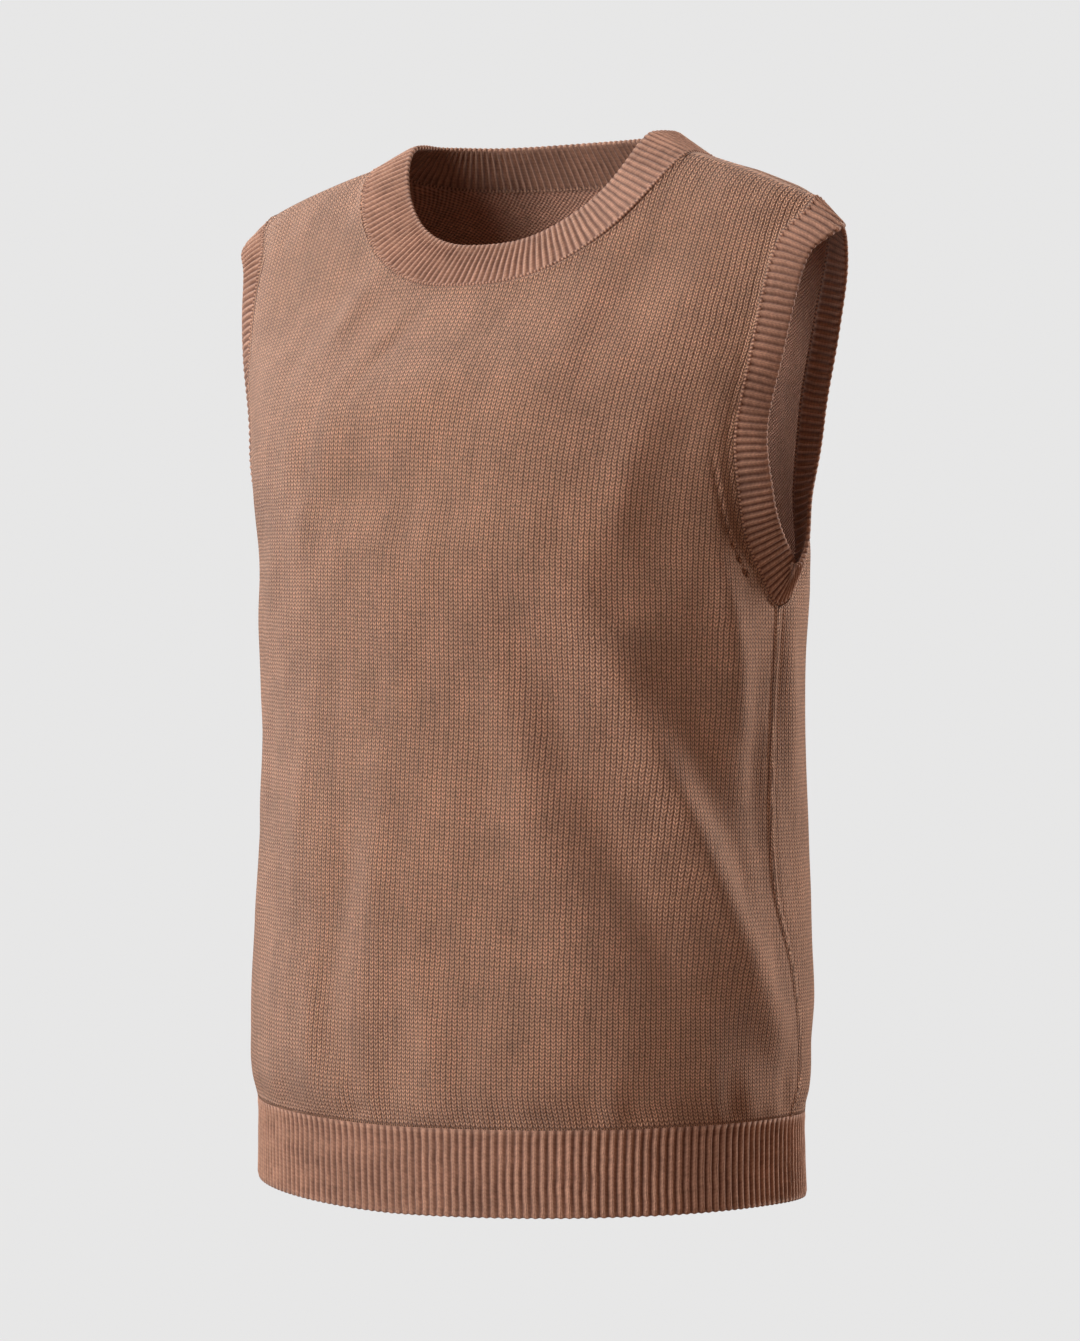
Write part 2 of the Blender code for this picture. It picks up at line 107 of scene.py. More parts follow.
SECTIONS = {
    Side.FRONT: [
        Section(-600.0, 161.5, 131.0, 2.3),
        Section(-575.0, 160.5, 132.0, 2.3),
        Section(-553.0, 161.0, 133.0, 2.3),
        Section(-541.0, 164.5, 136.5, 2.3),
        Section(-510.0, 166.0, 137.0, 2.3),
        Section(-450.0, 163.5, 134.0, 2.3),
        Section(-380.0, 160.5, 130.0, 2.3),
        Section(-320.0, 161.5, 126.0, 2.3),
        Section(-270.0, 164.5, 126.0, 2.3),
        Section(-235.0, 164.5, 125.5, 2.35),
        Section(-200.0, 171.5, 120.0, 2.4),
        Section(-150.0, 178.0, 102.0, 2.6),
        Section(-93.0, 193.0, 67.0, 2.8),
        Section(-60.0, 200.0, 49.5, 2.9),
        Section(-30.0, 201.0, 34.0, 3.0),
        Section(-8.0, 199.0, 17.0, 3.0),
        Section(0.0, 193.0, 0.0, 3.0),
    ],
    Side.BACK: [
        Section(-600.0, 161.5, 112.0, 2.3),
        Section(-575.0, 160.5, 111.5, 2.3),
        Section(-553.0, 161.0, 111.5, 2.3),
        Section(-541.0, 164.5, 114.5, 2.3),
        Section(-510.0, 166.0, 116.0, 2.3),
        Section(-450.0, 163.5, 117.0, 2.3),
        Section(-380.0, 160.5, 115.0, 2.3),
        Section(-320.0, 161.5, 108.0, 2.3),
        Section(-270.0, 164.5, 106.0, 2.3),
        Section(-235.0, 165.0, 106.0, 2.35),
        Section(-200.0, 161.5, 105.0, 2.4),
        Section(-150.0, 163.5, 102.0, 2.6),
        Section(-93.0, 172.5, 94.0, 2.8),
        Section(-60.0, 178.5, 85.0, 2.9),
        Section(-25.0, 186.0, 67.0, 3.0),
        Section(-7.0, 191.0, 36.0, 3.0),
        Section(0.0, 193.0, 0.0, 3.0),
    ],
}


class NeckCut(NamedTuple):
    """The neck seam of one side: its drop at the centre, and the powers that shape its curve."""

    drop: float
    spread: float
    scoop: float


NECK_CUT = {Side.FRONT: NeckCut(91.0, 0.78, 1.5), Side.BACK: NeckCut(25.0, 0.7, 0.7)}


class SeamPlace(NamedTuple):
    """How far behind the widest point the side seam lies at a level."""

    level: float
    behind: float


SIDE_SEAM = [
    SeamPlace(-600.0, 19.0),
    SeamPlace(-490.0, 19.0),
    SeamPlace(-465.0, 14.0),
    SeamPlace(-435.0, 3.0),
    SeamPlace(-380.0, 0.0),
    SeamPlace(-270.0, 0.0),
]


class ArmholeCut(NamedTuple):
    """The armhole seam, followed from the underarm (turn 0) to the shoulder tip (turn 180)."""

    turn: float
    front_reach: float
    back_reach: float
    front_flare: float
    back_flare: float
    band_width: float


ARMHOLE = [
    ArmholeCut(0.0, 0.0, 0.0, 22.0, 22.0, 24.0),
    ArmholeCut(30.0, 16.0, 19.0, 30.0, 38.0, 22.0),
    ArmholeCut(60.0, 41.5, 26.5, 36.0, 57.0, 18.5),
    ArmholeCut(75.0, 47.5, 29.5, 30.0, 70.0, 17.5),
    ArmholeCut(90.0, 46.0, 29.0, 17.0, 77.0, 17.0),
    ArmholeCut(115.0, 37.0, 28.5, 10.0, 75.0, 17.0),
    ArmholeCut(135.0, 26.0, 29.5, 12.0, 54.0, 18.0),
    ArmholeCut(155.0, 13.0, 22.0, 12.0, 18.0, 21.0),
    ArmholeCut(180.0, 0.0, 0.0, -20.0, -24.0, 23.0),
]


class BandStand(NamedTuple):
    """How far the neckband stands off the surface it is linked to, round half of the neck."""

    turn: float
    stand: float


NECKBAND_STAND = [
    BandStand(0.0, -6.0),
    BandStand(30.0, -5.0),
    BandStand(60.0, -8.0),
    BandStand(90.0, 12.0),
    BandStand(120.0, 21.0),
    BandStand(150.0, 14.0),
    BandStand(180.0, 8.0),
]


class Fold(NamedTuple):
    """A soft ridge (positive height) or trough, from one place on the body to another."""

    from_azimuth: float
    from_height: float
    to_azimuth: float
    to_height: float
    width: float
    height: float


FOLD_RADIUS = 150.0
FOLDS = [
    # The long fold from the chest round to the wearer's left hip, with a trough on either side.
    Fold(45.0, -268.0, 87.0, -497.0, 14.0, 9.0),
    Fold(59.0, -236.0, 78.0, -430.0, 15.0, -3.0),
    Fold(32.0, -290.0, 66.0, -480.0, 15.0, -6.5),
    Fold(28.0, -316.0, 52.0, -519.0, 16.0, 2.5),
    Fold(23.0, -316.0, 27.0, -430.0, 17.0, -2.5),
    # The left side, under the armhole.
    Fold(72.0, -222.0, 80.0, -330.0, 9.0, 4.0),
    Fold(94.0, -275.0, 98.0, -370.0, 9.0, 2.5),
    Fold(84.0, -320.0, 86.0, -420.0, 9.0, -2.5),
    # The chest: from the neck's side, by the armholes and down the middle.
    Fold(70.0, -55.0, 53.0, -130.0, 15.0, -3.0),
    Fold(74.0, -84.0, 65.0, -135.0, 11.0, 2.5),
    Fold(30.0, -142.0, 21.0, -275.0, 30.0, 2.0),
    Fold(-50.0, -88.0, -48.0, -122.0, 14.0, 2.0),
    Fold(-38.0, -158.0, 26.0, -150.0, 26.0, 4.5),
    Fold(-34.0, -206.0, 28.0, -214.0, 22.0, -4.5),
    Fold(60.0, -150.0, 50.0, -235.0, 10.0, 1.8),
    Fold(65.0, -160.0, 60.0, -250.0, 13.0, -2.6),
    Fold(-20.0, -110.0, -28.0, -150.0, 10.0, -1.2),
    # The wearer's right of the front.
    Fold(-30.0, -330.0, -33.0, -440.0, 10.0, 1.4),
    Fold(10.0, -470.0, 12.0, -535.0, 9.0, 1.6),
    Fold(22.0, -440.0, 20.0, -540.0, 10.0, -1.6),
    Fold(-24.0, -480.0, -22.0, -540.0, 8.0, 1.6),
    Fold(40.0, -470.0, 46.0, -540.0, 9.0, 1.6),
    Fold(-14.0, -351.0, -18.0, -505.0, 14.0, -3.0),
    Fold(-4.0, -363.0, -7.0, -525.0, 15.0, 2.5),
    # The right side and the back.
    Fold(-82.0, -280.0, -112.0, -490.0, 15.0, 5.0),
    Fold(-96.0, -250.0, -122.0, -430.0, 17.0, -4.0),
    Fold(212.0, -300.0, 178.0, -505.0, 17.0, 5.0),
    Fold(196.0, -270.0, 165.0, -450.0, 18.0, -4.0),
    Fold(156.0, -330.0, 146.0, -520.0, 17.0, 3.0),
    Fold(150.0, -110.0, 165.0, -190.0, 20.0, -3.0),
]


def curve_through(keys: Sequence[float], values: Sequence[float], at: np.ndarray) -> np.ndarray:
    """Read a smooth curve through a table.

    Args:
        keys: Where the table's rows lie, rising.
        values: One column of the table.
        at: The places to read it at.

    Returns:
        The curve's value at each place.
    """
    keys = np.asarray(keys, dtype=float)
    values = np.asarray(values, dtype=float)
    steps = np.diff(values) / np.diff(keys)
    gaps = np.diff(keys)
    inner = (steps[:-1] * gaps[1:] + steps[1:] * gaps[:-1]) / (keys[2:] - keys[:-2])
    tangents = np.concatenate(([steps[0]], inner, [steps[-1]]))
    at = np.clip(np.asarray(at, dtype=float), keys[0], keys[-1])
    span = np.clip(np.searchsorted(keys, at, side="right") - 1, 0, len(keys) - 2)
    length = gaps[span]
    part = (at - keys[span]) / length
    start = (1 + 2 * part) * (1 - part) ** 2 * values[span]
    end = part**2 * (3 - 2 * part) * values[span + 1]
    start_slope = part * (1 - part) ** 2 * length * tangents[span]
    end_slope = part**2 * (part - 1) * length * tangents[span + 1]
    return start + end + start_slope + end_slope


def column(rows: Sequence[NamedTuple], name: str) -> list[float]:
    """Return one named column of a table."""
    return [getattr(row, name) for row in rows]


def smooth_step(part: np.ndarray) -> np.ndarray:
    """Return 0 below part 0, 1 above part 1 and a smooth rise between them."""
    part = np.clip(part, 0.0, 1.0)
    return part * part * (3 - 2 * part)


def soft_noise(u: np.ndarray, v: np.ndarray, cell: float, seed: int) -> np.ndarray:
    """Return smooth random values from -1 to 1 over two coordinates.

    Args:
        u: First coordinate.
        v: Second coordinate.
        cell: The size of the noise's cells.
        seed: Which noise it is.

    Returns:
        One value for each pair of coordinates.
    """
    lattice = np.random.default_rng(seed).uniform(-1, 1, (64, 64))
    u, v = u / cell + 1000, v / cell + 1000
    i, j = np.floor(u).astype(int), np.floor(v).astype(int)
    a, b = smooth_step(u - i), smooth_step(v - j)
    corner = {(p, q): lattice[(i + p) % 64, (j + q) % 64] for p in (0, 1) for q in (0, 1)}
    low = corner[0, 0] * (1 - a) + corner[1, 0] * a
    high = corner[0, 1] * (1 - a) + corner[1, 1] * a
    return low * (1 - b) + high * b


def bump_at(values: np.ndarray, middle: float, spread: float) -> np.ndarray:
    """Return a smooth bump of height 1 at the middle, which falls away over the spread."""
    return np.exp(-(((values - middle) / spread) ** 2))


def unit(vectors: np.ndarray) -> np.ndarray:
    """Return vectors scaled to length one."""
    return vectors / np.linalg.norm(vectors, axis=-1, keepdims=True)


def eased_round(values: np.ndarray, spread: float, spacing: float) -> np.ndarray:
    """Return values round a closed ring, eased over a distance.

    Args:
        values: One row for each point of the ring.
        spread: The distance that they are eased over.
        spacing: The distance between the points.

    Returns:
        The eased values.
    """
    reach = int(3 * spread / spacing)
    steps = np.arange(-reach, reach + 1)
    weights = np.exp(-0.5 * (steps * spacing / spread) ** 2)
    return sum(w * np.roll(values, s, axis=0) for w, s in zip(weights / weights.sum(), steps))


@dataclass
class BodyForm:
    """The form that the cloth hangs in, worked out from its sections.

    A place on it is a side, a share of the half width (-1 to 1) and a level.
    """

    path_rows: int = 420
    share_columns: int = 200
    samples: int = 260
    tables: dict = field(default_factory=dict)

    def __post_init__(self) -> None:
        """Work out the sections of both sides."""
        paths = np.linspace(float(self.path_of(HEM - 2)), 1.0, self.path_rows)
        levels = np.where(
            paths >= 0,
            UNDERARM * (1 - np.sin(np.clip(paths, 0, 1) * math.pi / 2)),
            UNDERARM - paths * UNDERARM * math.pi / 2,
        )
        self.tables["paths"] = paths
        shares = np.linspace(0, 1, self.share_columns)
        for side in Side:
            xs, ys, halves = [], [], []
            for level in levels:
                x, y = self.half_section(side, level)
                run = np.concatenate(([0.0], np.cumsum(np.hypot(np.diff(x), np.diff(y)))))
                xs.append(np.interp(shares * run[-1], run, x))
                ys.append(np.interp(shares * run[-1], run, y))
                halves.append(run[-1])
            self.tables[side] = (np.array(xs), np.array(ys), np.array(halves))

    @staticmethod
    def path_of(level: np.ndarray) -> np.ndarray:
        """Return how far along a wale a level lies: 0 at the underarm, 1 on the shoulder ridge.

        Args:
            level: The levels.

        Returns:
            The places, negative below the underarm.
        """
        level = np.asarray(level, dtype=float)
        above = np.arcsin(np.clip(1 - level / UNDERARM, 0, 1)) / (math.pi / 2)
        below = (level - UNDERARM) / (-UNDERARM * math.pi / 2)
        return np.where(level > UNDERARM, above, below)

    def section_at(self, side: Side, level: float) -> list[float]:
        """Return the half width, depth and squareness of a side's section at a level.

        Args:
            side: The front or the back.
            level: The section's level.

        Returns:
            The three.
        """
        rows = SECTIONS[side]
        keys = self.path_of(np.array(column(rows, "level")))
        place = self.path_of(level)
        return [float(curve_through(keys, column(rows, name), place)) for name in Section._fields[1:]]

    def half_section(self, side: Side, level: float) -> tuple[np.ndarray, np.ndarray]:
        """Return half a section's points, from the centre line to the piece's edge.

        Args:
            side: The front or the back.
            level: The section's level.

        Returns:
            Their x and their y.
        """
        half_width, depth, squareness = self.section_at(side, level)
        power = 2 / squareness
        if level >= UNDERARM:
            turn = math.degrees(math.acos(np.clip(2 * level / UNDERARM - 1, -1, 1)))
            turn_end = math.asin(RIDGE_SHARE ** (1 / power))
            if depth > 0:
                name = "front_reach" if side is Side.FRONT else "back_reach"
                reach = float(curve_through(column(ARMHOLE, "turn"), column(ARMHOLE, name), turn))
                at_seam = math.acos(min(max(reach / depth, 0.0), 1.0) ** (1 / power))
                blend = 1 - float(smooth_step((turn - TIP_TURN) / (180 - TIP_TURN)))
                turn_end += (at_seam - turn_end) * blend
            turns = np.linspace(0, turn_end, self.samples)
            return half_width * np.sin(turns) ** power, side.value * depth * np.cos(turns) ** power
        place = float(curve_through(column(SIDE_SEAM, "level"), column(SIDE_SEAM, "behind"), level))
        back_depth = self.section_at(Side.BACK, level)[1]
        past = math.asin((max(place, 0.0) / back_depth) ** (1 / power))
        turns = np.linspace(0, math.pi / 2 + (past if side is Side.FRONT else -past), self.samples)
        cosines = np.cos(turns)
        depths = np.where(cosines >= 0, side.value * depth, back_depth)
        return half_width * np.sin(turns) ** power, depths * np.abs(cosines) ** power

    @staticmethod
    def shoulder_height(x: np.ndarray) -> np.ndarray:
        """Return the height of the shoulder ridge at a distance from the centre line.

        Args:
            x: The distance, positive to the wearer's left.

        Returns:
            The height.
        """
        drop = np.where(x >= 0, SHOULDER_DROP[1], SHOULDER_DROP[-1])
        return -drop * (np.abs(x) / SHOULDER_TIP) ** SHOULDER_BEND

    def height_of(self, level: np.ndarray, x: np.ndarray) -> np.ndarray:
        """Return the true height of a level at a distance from the centre line.

        Args:
            level: The levels.
            x: The distances.

        Returns:
            The heights.
        """
        hang = np.where(x >= 0, HEM_RISE[1], HEM_RISE[-1]) * (np.abs(x) / HEM_REACH) ** HEM_BEND
        below = level + hang * (np.clip(UNDERARM - level, 0, None) / (UNDERARM - HEM)) ** 2
        above = UNDERARM + (self.shoulder_height(x) - UNDERARM) * (1 - level / UNDERARM)
        return np.where(level <= UNDERARM, below, above)

    def level_of(self, height: np.ndarray, x: np.ndarray) -> np.ndarray:
        """Return the level above the underarm that has this height.

        Args:
            height: The true heights.
            x: The distances from the centre line.

        Returns:
            The levels.
        """
        rise = (height - UNDERARM) / (self.shoulder_height(x) - UNDERARM)
        return UNDERARM * (1 - np.minimum(rise, 1.0))

    def row_of(self, level: np.ndarray) -> tuple[np.ndarray, np.ndarray]:
        """Return the table row below each level, and how far the level is past it.

        Args:
            level: The levels.

        Returns:
            The rows, and the parts of a row.
        """
        paths = self.tables["paths"]
        place = (self.path_of(level) - paths[0]) / (paths[1] - paths[0])
        row = np.clip(np.floor(place).astype(int), 0, len(paths) - 2)
        return row, np.clip(place - row, 0, 1)

    def half_run(self, side: Side, level: np.ndarray) -> np.ndarray:
        """Return the distance along the surface from the centre line to the piece's edge.

        Args:
            side: The front or the back.
            level: The levels.

        Returns:
            The distances.
        """
        row, past = self.row_of(level)
        halves = self.tables[side][2]
        return halves[row] * (1 - past) + halves[row + 1] * past

    def point(self, side: Side, share: np.ndarray, level: np.ndarray) -> np.ndarray:
        """Return the points of the surface at places, before the folds.

        Args:
            side: The front or the back.
            share: The places' shares.
            level: Their levels.

        Returns:
            The points.
        """
        row, past = self.row_of(level)
        place = np.clip(np.abs(share), 0, 1) * (self.share_columns - 1)
        cell = np.clip(np.floor(place).astype(int), 0, self.share_columns - 2)
        aside = place - cell
        flat = []
        for table in self.tables[side][:2]:
            low = table[row, cell] * (1 - aside) + table[row, cell + 1] * aside
            high = table[row + 1, cell] * (1 - aside) + table[row + 1, cell + 1] * aside
            flat.append(low * (1 - past) + high * past)
        x = flat[0] * np.where(share >= 0, 1, -1)
        return np.stack([x, flat[1], self.height_of(level, x)], axis=-1)

    def normal(self, side: Side, share: np.ndarray, level: np.ndarray) -> np.ndarray:
        """Return the surface's outward normals at places, before the folds.

        Args:
            side: The front or the back.
            share: The places' shares.
            level: Their levels.

        Returns:
            The normals.
        """
        step = 2.0
        aside = step / HEM_REACH
        level = np.minimum(level, 0.0)
        across = self.point(side, share + aside, level) - self.point(side, share - aside, level)
        up = self.point(side, share, np.minimum(level + step, 0.0)) - self.point(side, share, level - step)
        normals = np.cross(across, up) * -side.value
        x = self.point(side, share, level)[..., 0]
        slope = (self.shoulder_height(x + step) - self.shoulder_height(x - step)) / (2 * step)
        ridge = np.stack([-slope, 0 * slope, 1 + 0 * slope], axis=-1)
        near = smooth_step(1 + level / step)[..., None]
        return unit(unit(normals) * (1 - near) + unit(ridge) * near)

    def share_at(self, side: Side, x: float, level: float) -> float:
        """Return the share of the half width at which the surface at a level reaches x.

        Args:
            side: The front or the back.
            x: The distance from the centre line.
            level: The level.

        Returns:
            The share.
        """
        row, past = self.row_of(np.array(level))
        xs = self.tables[side][0]
        line = xs[row] * (1 - past) + xs[row + 1] * past
        return float(np.interp(abs(x), line, np.linspace(0, 1, self.share_columns)))

    def neck_places(self, side: Side, turns: np.ndarray) -> np.ndarray:
        """Return the neck seam's (share, level) at turns from the centre line, -90 to 90.

        Args:
            side: The front or the back.
            turns: The turns, in degrees.

        Returns:
            The places.
        """
        cut = NECK_CUT[side]
        angles = np.radians(np.abs(turns))
        x = np.where(turns >= 0, 1, -1) * NECK_HALF_WIDTH * np.sin(angles) ** cut.spread
        top = self.shoulder_height(np.where(turns >= 0, 1, -1) * NECK_HALF_WIDTH)
        height = top - (cut.drop + top) * np.clip(np.cos(angles), 0, 1) ** cut.scoop
        level = self.level_of(height, x)
        share = [math.copysign(self.share_at(side, a, b), a) for a, b in zip(x, level)]
        return np.stack([np.array(share), level], axis=-1)

    @staticmethod
    def fold_lift(points: np.ndarray, folds: Sequence[Fold]) -> np.ndarray:
        """Return how far folds lift the surface at points of the body.

        Args:
            points: The points.
            folds: The folds.

        Returns:
            The lift at each point.
        """
        azimuth = np.degrees(np.arctan2(points[..., 0], -points[..., 1]))
        lift = np.zeros(azimuth.shape)
        scale = math.radians(1) * FOLD_RADIUS
        for fold in folds:
            middle = (fold.from_azimuth + fold.to_azimuth) / 2
            turn = (azimuth - middle + 180) % 360 - 180 + middle
            run = ((fold.to_azimuth - fold.from_azimuth) * scale, fold.to_height - fold.from_height)
            place = ((turn - fold.from_azimuth) * scale, points[..., 2] - fold.from_height)
            length = math.hypot(*run)
            forward = (place[0] * run[0] + place[1] * run[1]) / length
            aside = (place[0] * run[1] - place[1] * run[0]) / length
            past = np.maximum(np.maximum(-forward, forward - length), 0.0)
            inside = np.clip(forward, 0.0, length) / length
            body = np.sin(math.pi * (0.15 + 0.7 * inside))
            fall = (aside / fold.width) ** 2 + (past / (1.5 * fold.width)) ** 2
            lift += fold.height * body * np.exp(-fall)
        return lift * smooth_step((points[..., 2] - PANEL_FOOT) / 40.0)


def srgb(hex_colour: str) -> tuple[float, float, float, float]:
    """Return the linear colour, with alpha 1, of an sRGB hex value such as "A0B0C0".

    Args:
        hex_colour: Six hex digits.

    Returns:
        The red, green, blue and alpha.
    """
    parts = [int(hex_colour[i : i + 2], 16) / 255 for i in (0, 2, 4)]
    linear = [p / 12.92 if p <= 0.04045 else ((p + 0.055) / 1.055) ** 2.4 for p in parts]
    return (*linear, 1.0)


def add_node(tree: bpy.types.NodeTree, kind: str, settings: dict, links: dict) -> bpy.types.Node:
    """Add a node.

    Args:
        tree: The tree it goes in.
        kind: The node's type name.
        settings: Its properties and their values.
        links: For each input, by name or number, the socket linked to it or its own value.

    Returns:
        The node.
    """
    node = tree.nodes.new(kind)
    for name, value in settings.items():
        setattr(node, name, value)
    for name, value in links.items():
        if isinstance(value, bpy.types.NodeSocket):
            tree.links.new(value, node.inputs[name])
        else:
            node.inputs[name].default_value = value
    return node


class Step(NamedTuple):
    """One step of a formula: result = operation(first, second, third), by name or number."""

    result: str
    operation: str
    first: object
    second: object = 0.0
    third: object = 0.0


# Plain stitch, face side: each wale is a chain of Vs. "leg" is 0 in the wale's middle and 1 at its
# sides, the legs climb from the middle, and "ply" is the round of the yarn across a leg.
JERSEY_STEPS = [
    Step("across", "FRACT", "wale"),
    Step("off", "SUBTRACT", "across", 0.5),
    Step("half", "ABSOLUTE", "off"),
    Step("leg", "MULTIPLY", "half", 2.0),
    Step("climb", "MULTIPLY", "leg", 0.8),
    Step("phase", "SUBTRACT", "course", "climb"),
    Step("turn", "FRACT", "phase"),
    Step("arc", "MULTIPLY", "turn", math.pi),
    Step("round", "SINE", "arc"),
    Step("ply", "POWER", "round", 1.2),
    Step("ply2", "MULTIPLY_ADD", "ply", 0.84, 0.16),
    Step("bow", "MULTIPLY_ADD", "leg", 0.84 * math.pi, 0.15 * math.pi),
    Step("hump", "SINE", "bow"),
    Step("hump2", "MAXIMUM", "hump", 0.0),
    Step("hump3", "POWER", "hump2", 1.1),
    Step("relief", "MULTIPLY", "ply2", "hump3"),
]

# Plain stitch, inside: purl bumps that interlock like bricks.
PURL_STEPS = [
    Step("u", "MULTIPLY", "wale", 2 * math.pi),
    Step("v", "MULTIPLY", "course", 2 * math.pi),
    Step("cu", "COSINE", "u"),
    Step("cv", "COSINE", "v"),
    Step("cc", "MULTIPLY", "cu", "cv"),
    Step("half", "MULTIPLY", "cc", 0.5),
    Step("up", "ADD", "half", 0.5),
    Step("relief", "POWER", "up", 0.8),
]

# One-by-one rib: a raised wale of Vs in the middle of each repeat and a sunk purl wale between, which the
# colour darkens as painted shade.
RIB_STEPS = [
    Step("across", "FRACT", "wale"),
    Step("off", "SUBTRACT", "across", 0.5),
    Step("half", "ABSOLUTE", "off"),
    Step("leg", "MULTIPLY", "half", 3.4),
    Step("leg1", "MINIMUM", "leg", 1.0),
    Step("climb", "MULTIPLY", "leg1", 0.6),
    Step("phase", "SUBTRACT", "course", "climb"),
    Step("turn", "FRACT", "phase"),
    Step("arc", "MULTIPLY", "turn", math.pi),
    Step("round", "SINE", "arc"),
    Step("ply", "POWER", "round", 0.6),
    Step("side", "SUBTRACT", 0.62, "half"),
    Step("wall", "MULTIPLY", "side", 1.7),
    Step("wall1", "MINIMUM", "wall", 1.0),
    Step("ply2", "MULTIPLY_ADD", "ply", 0.28, 0.72),
    Step("crease", "MULTIPLY_ADD", "half", 5.0, 0.55),
    Step("crease1", "MINIMUM", "crease", 1.0),
    Step("strand", "MULTIPLY", "ply2", "crease1"),
    Step("ribbed", "MULTIPLY", "strand", "wall1"),
    # The first course is the linking chain, with painted shade for the hole between its loops.
    Step("near", "SUBTRACT", 1.0, "v0"),
    Step("near1", "MULTIPLY", "near", 3.0),
    Step("near2", "MINIMUM", "near1", 1.0),
    Step("link", "MAXIMUM", "near2", 0.0),
    Step("beat", "MULTIPLY", "wale", 4 * math.pi),
    Step("loop1", "COSINE", "beat"),
    Step("loop2", "MULTIPLY_ADD", "loop1", 0.4, 0.6),
    Step("chain", "SUBTRACT", "loop2", "ribbed"),
    Step("relief", "MULTIPLY_ADD", "chain", "link", "ribbed"),
]

# Each formula's relief sets the bump's height and also how much painted shade the colour takes in the gaps.
STITCH_STEPS = {Stitch.JERSEY: JERSEY_STEPS, Stitch.PURL: PURL_STEPS, Stitch.RIB: RIB_STEPS}


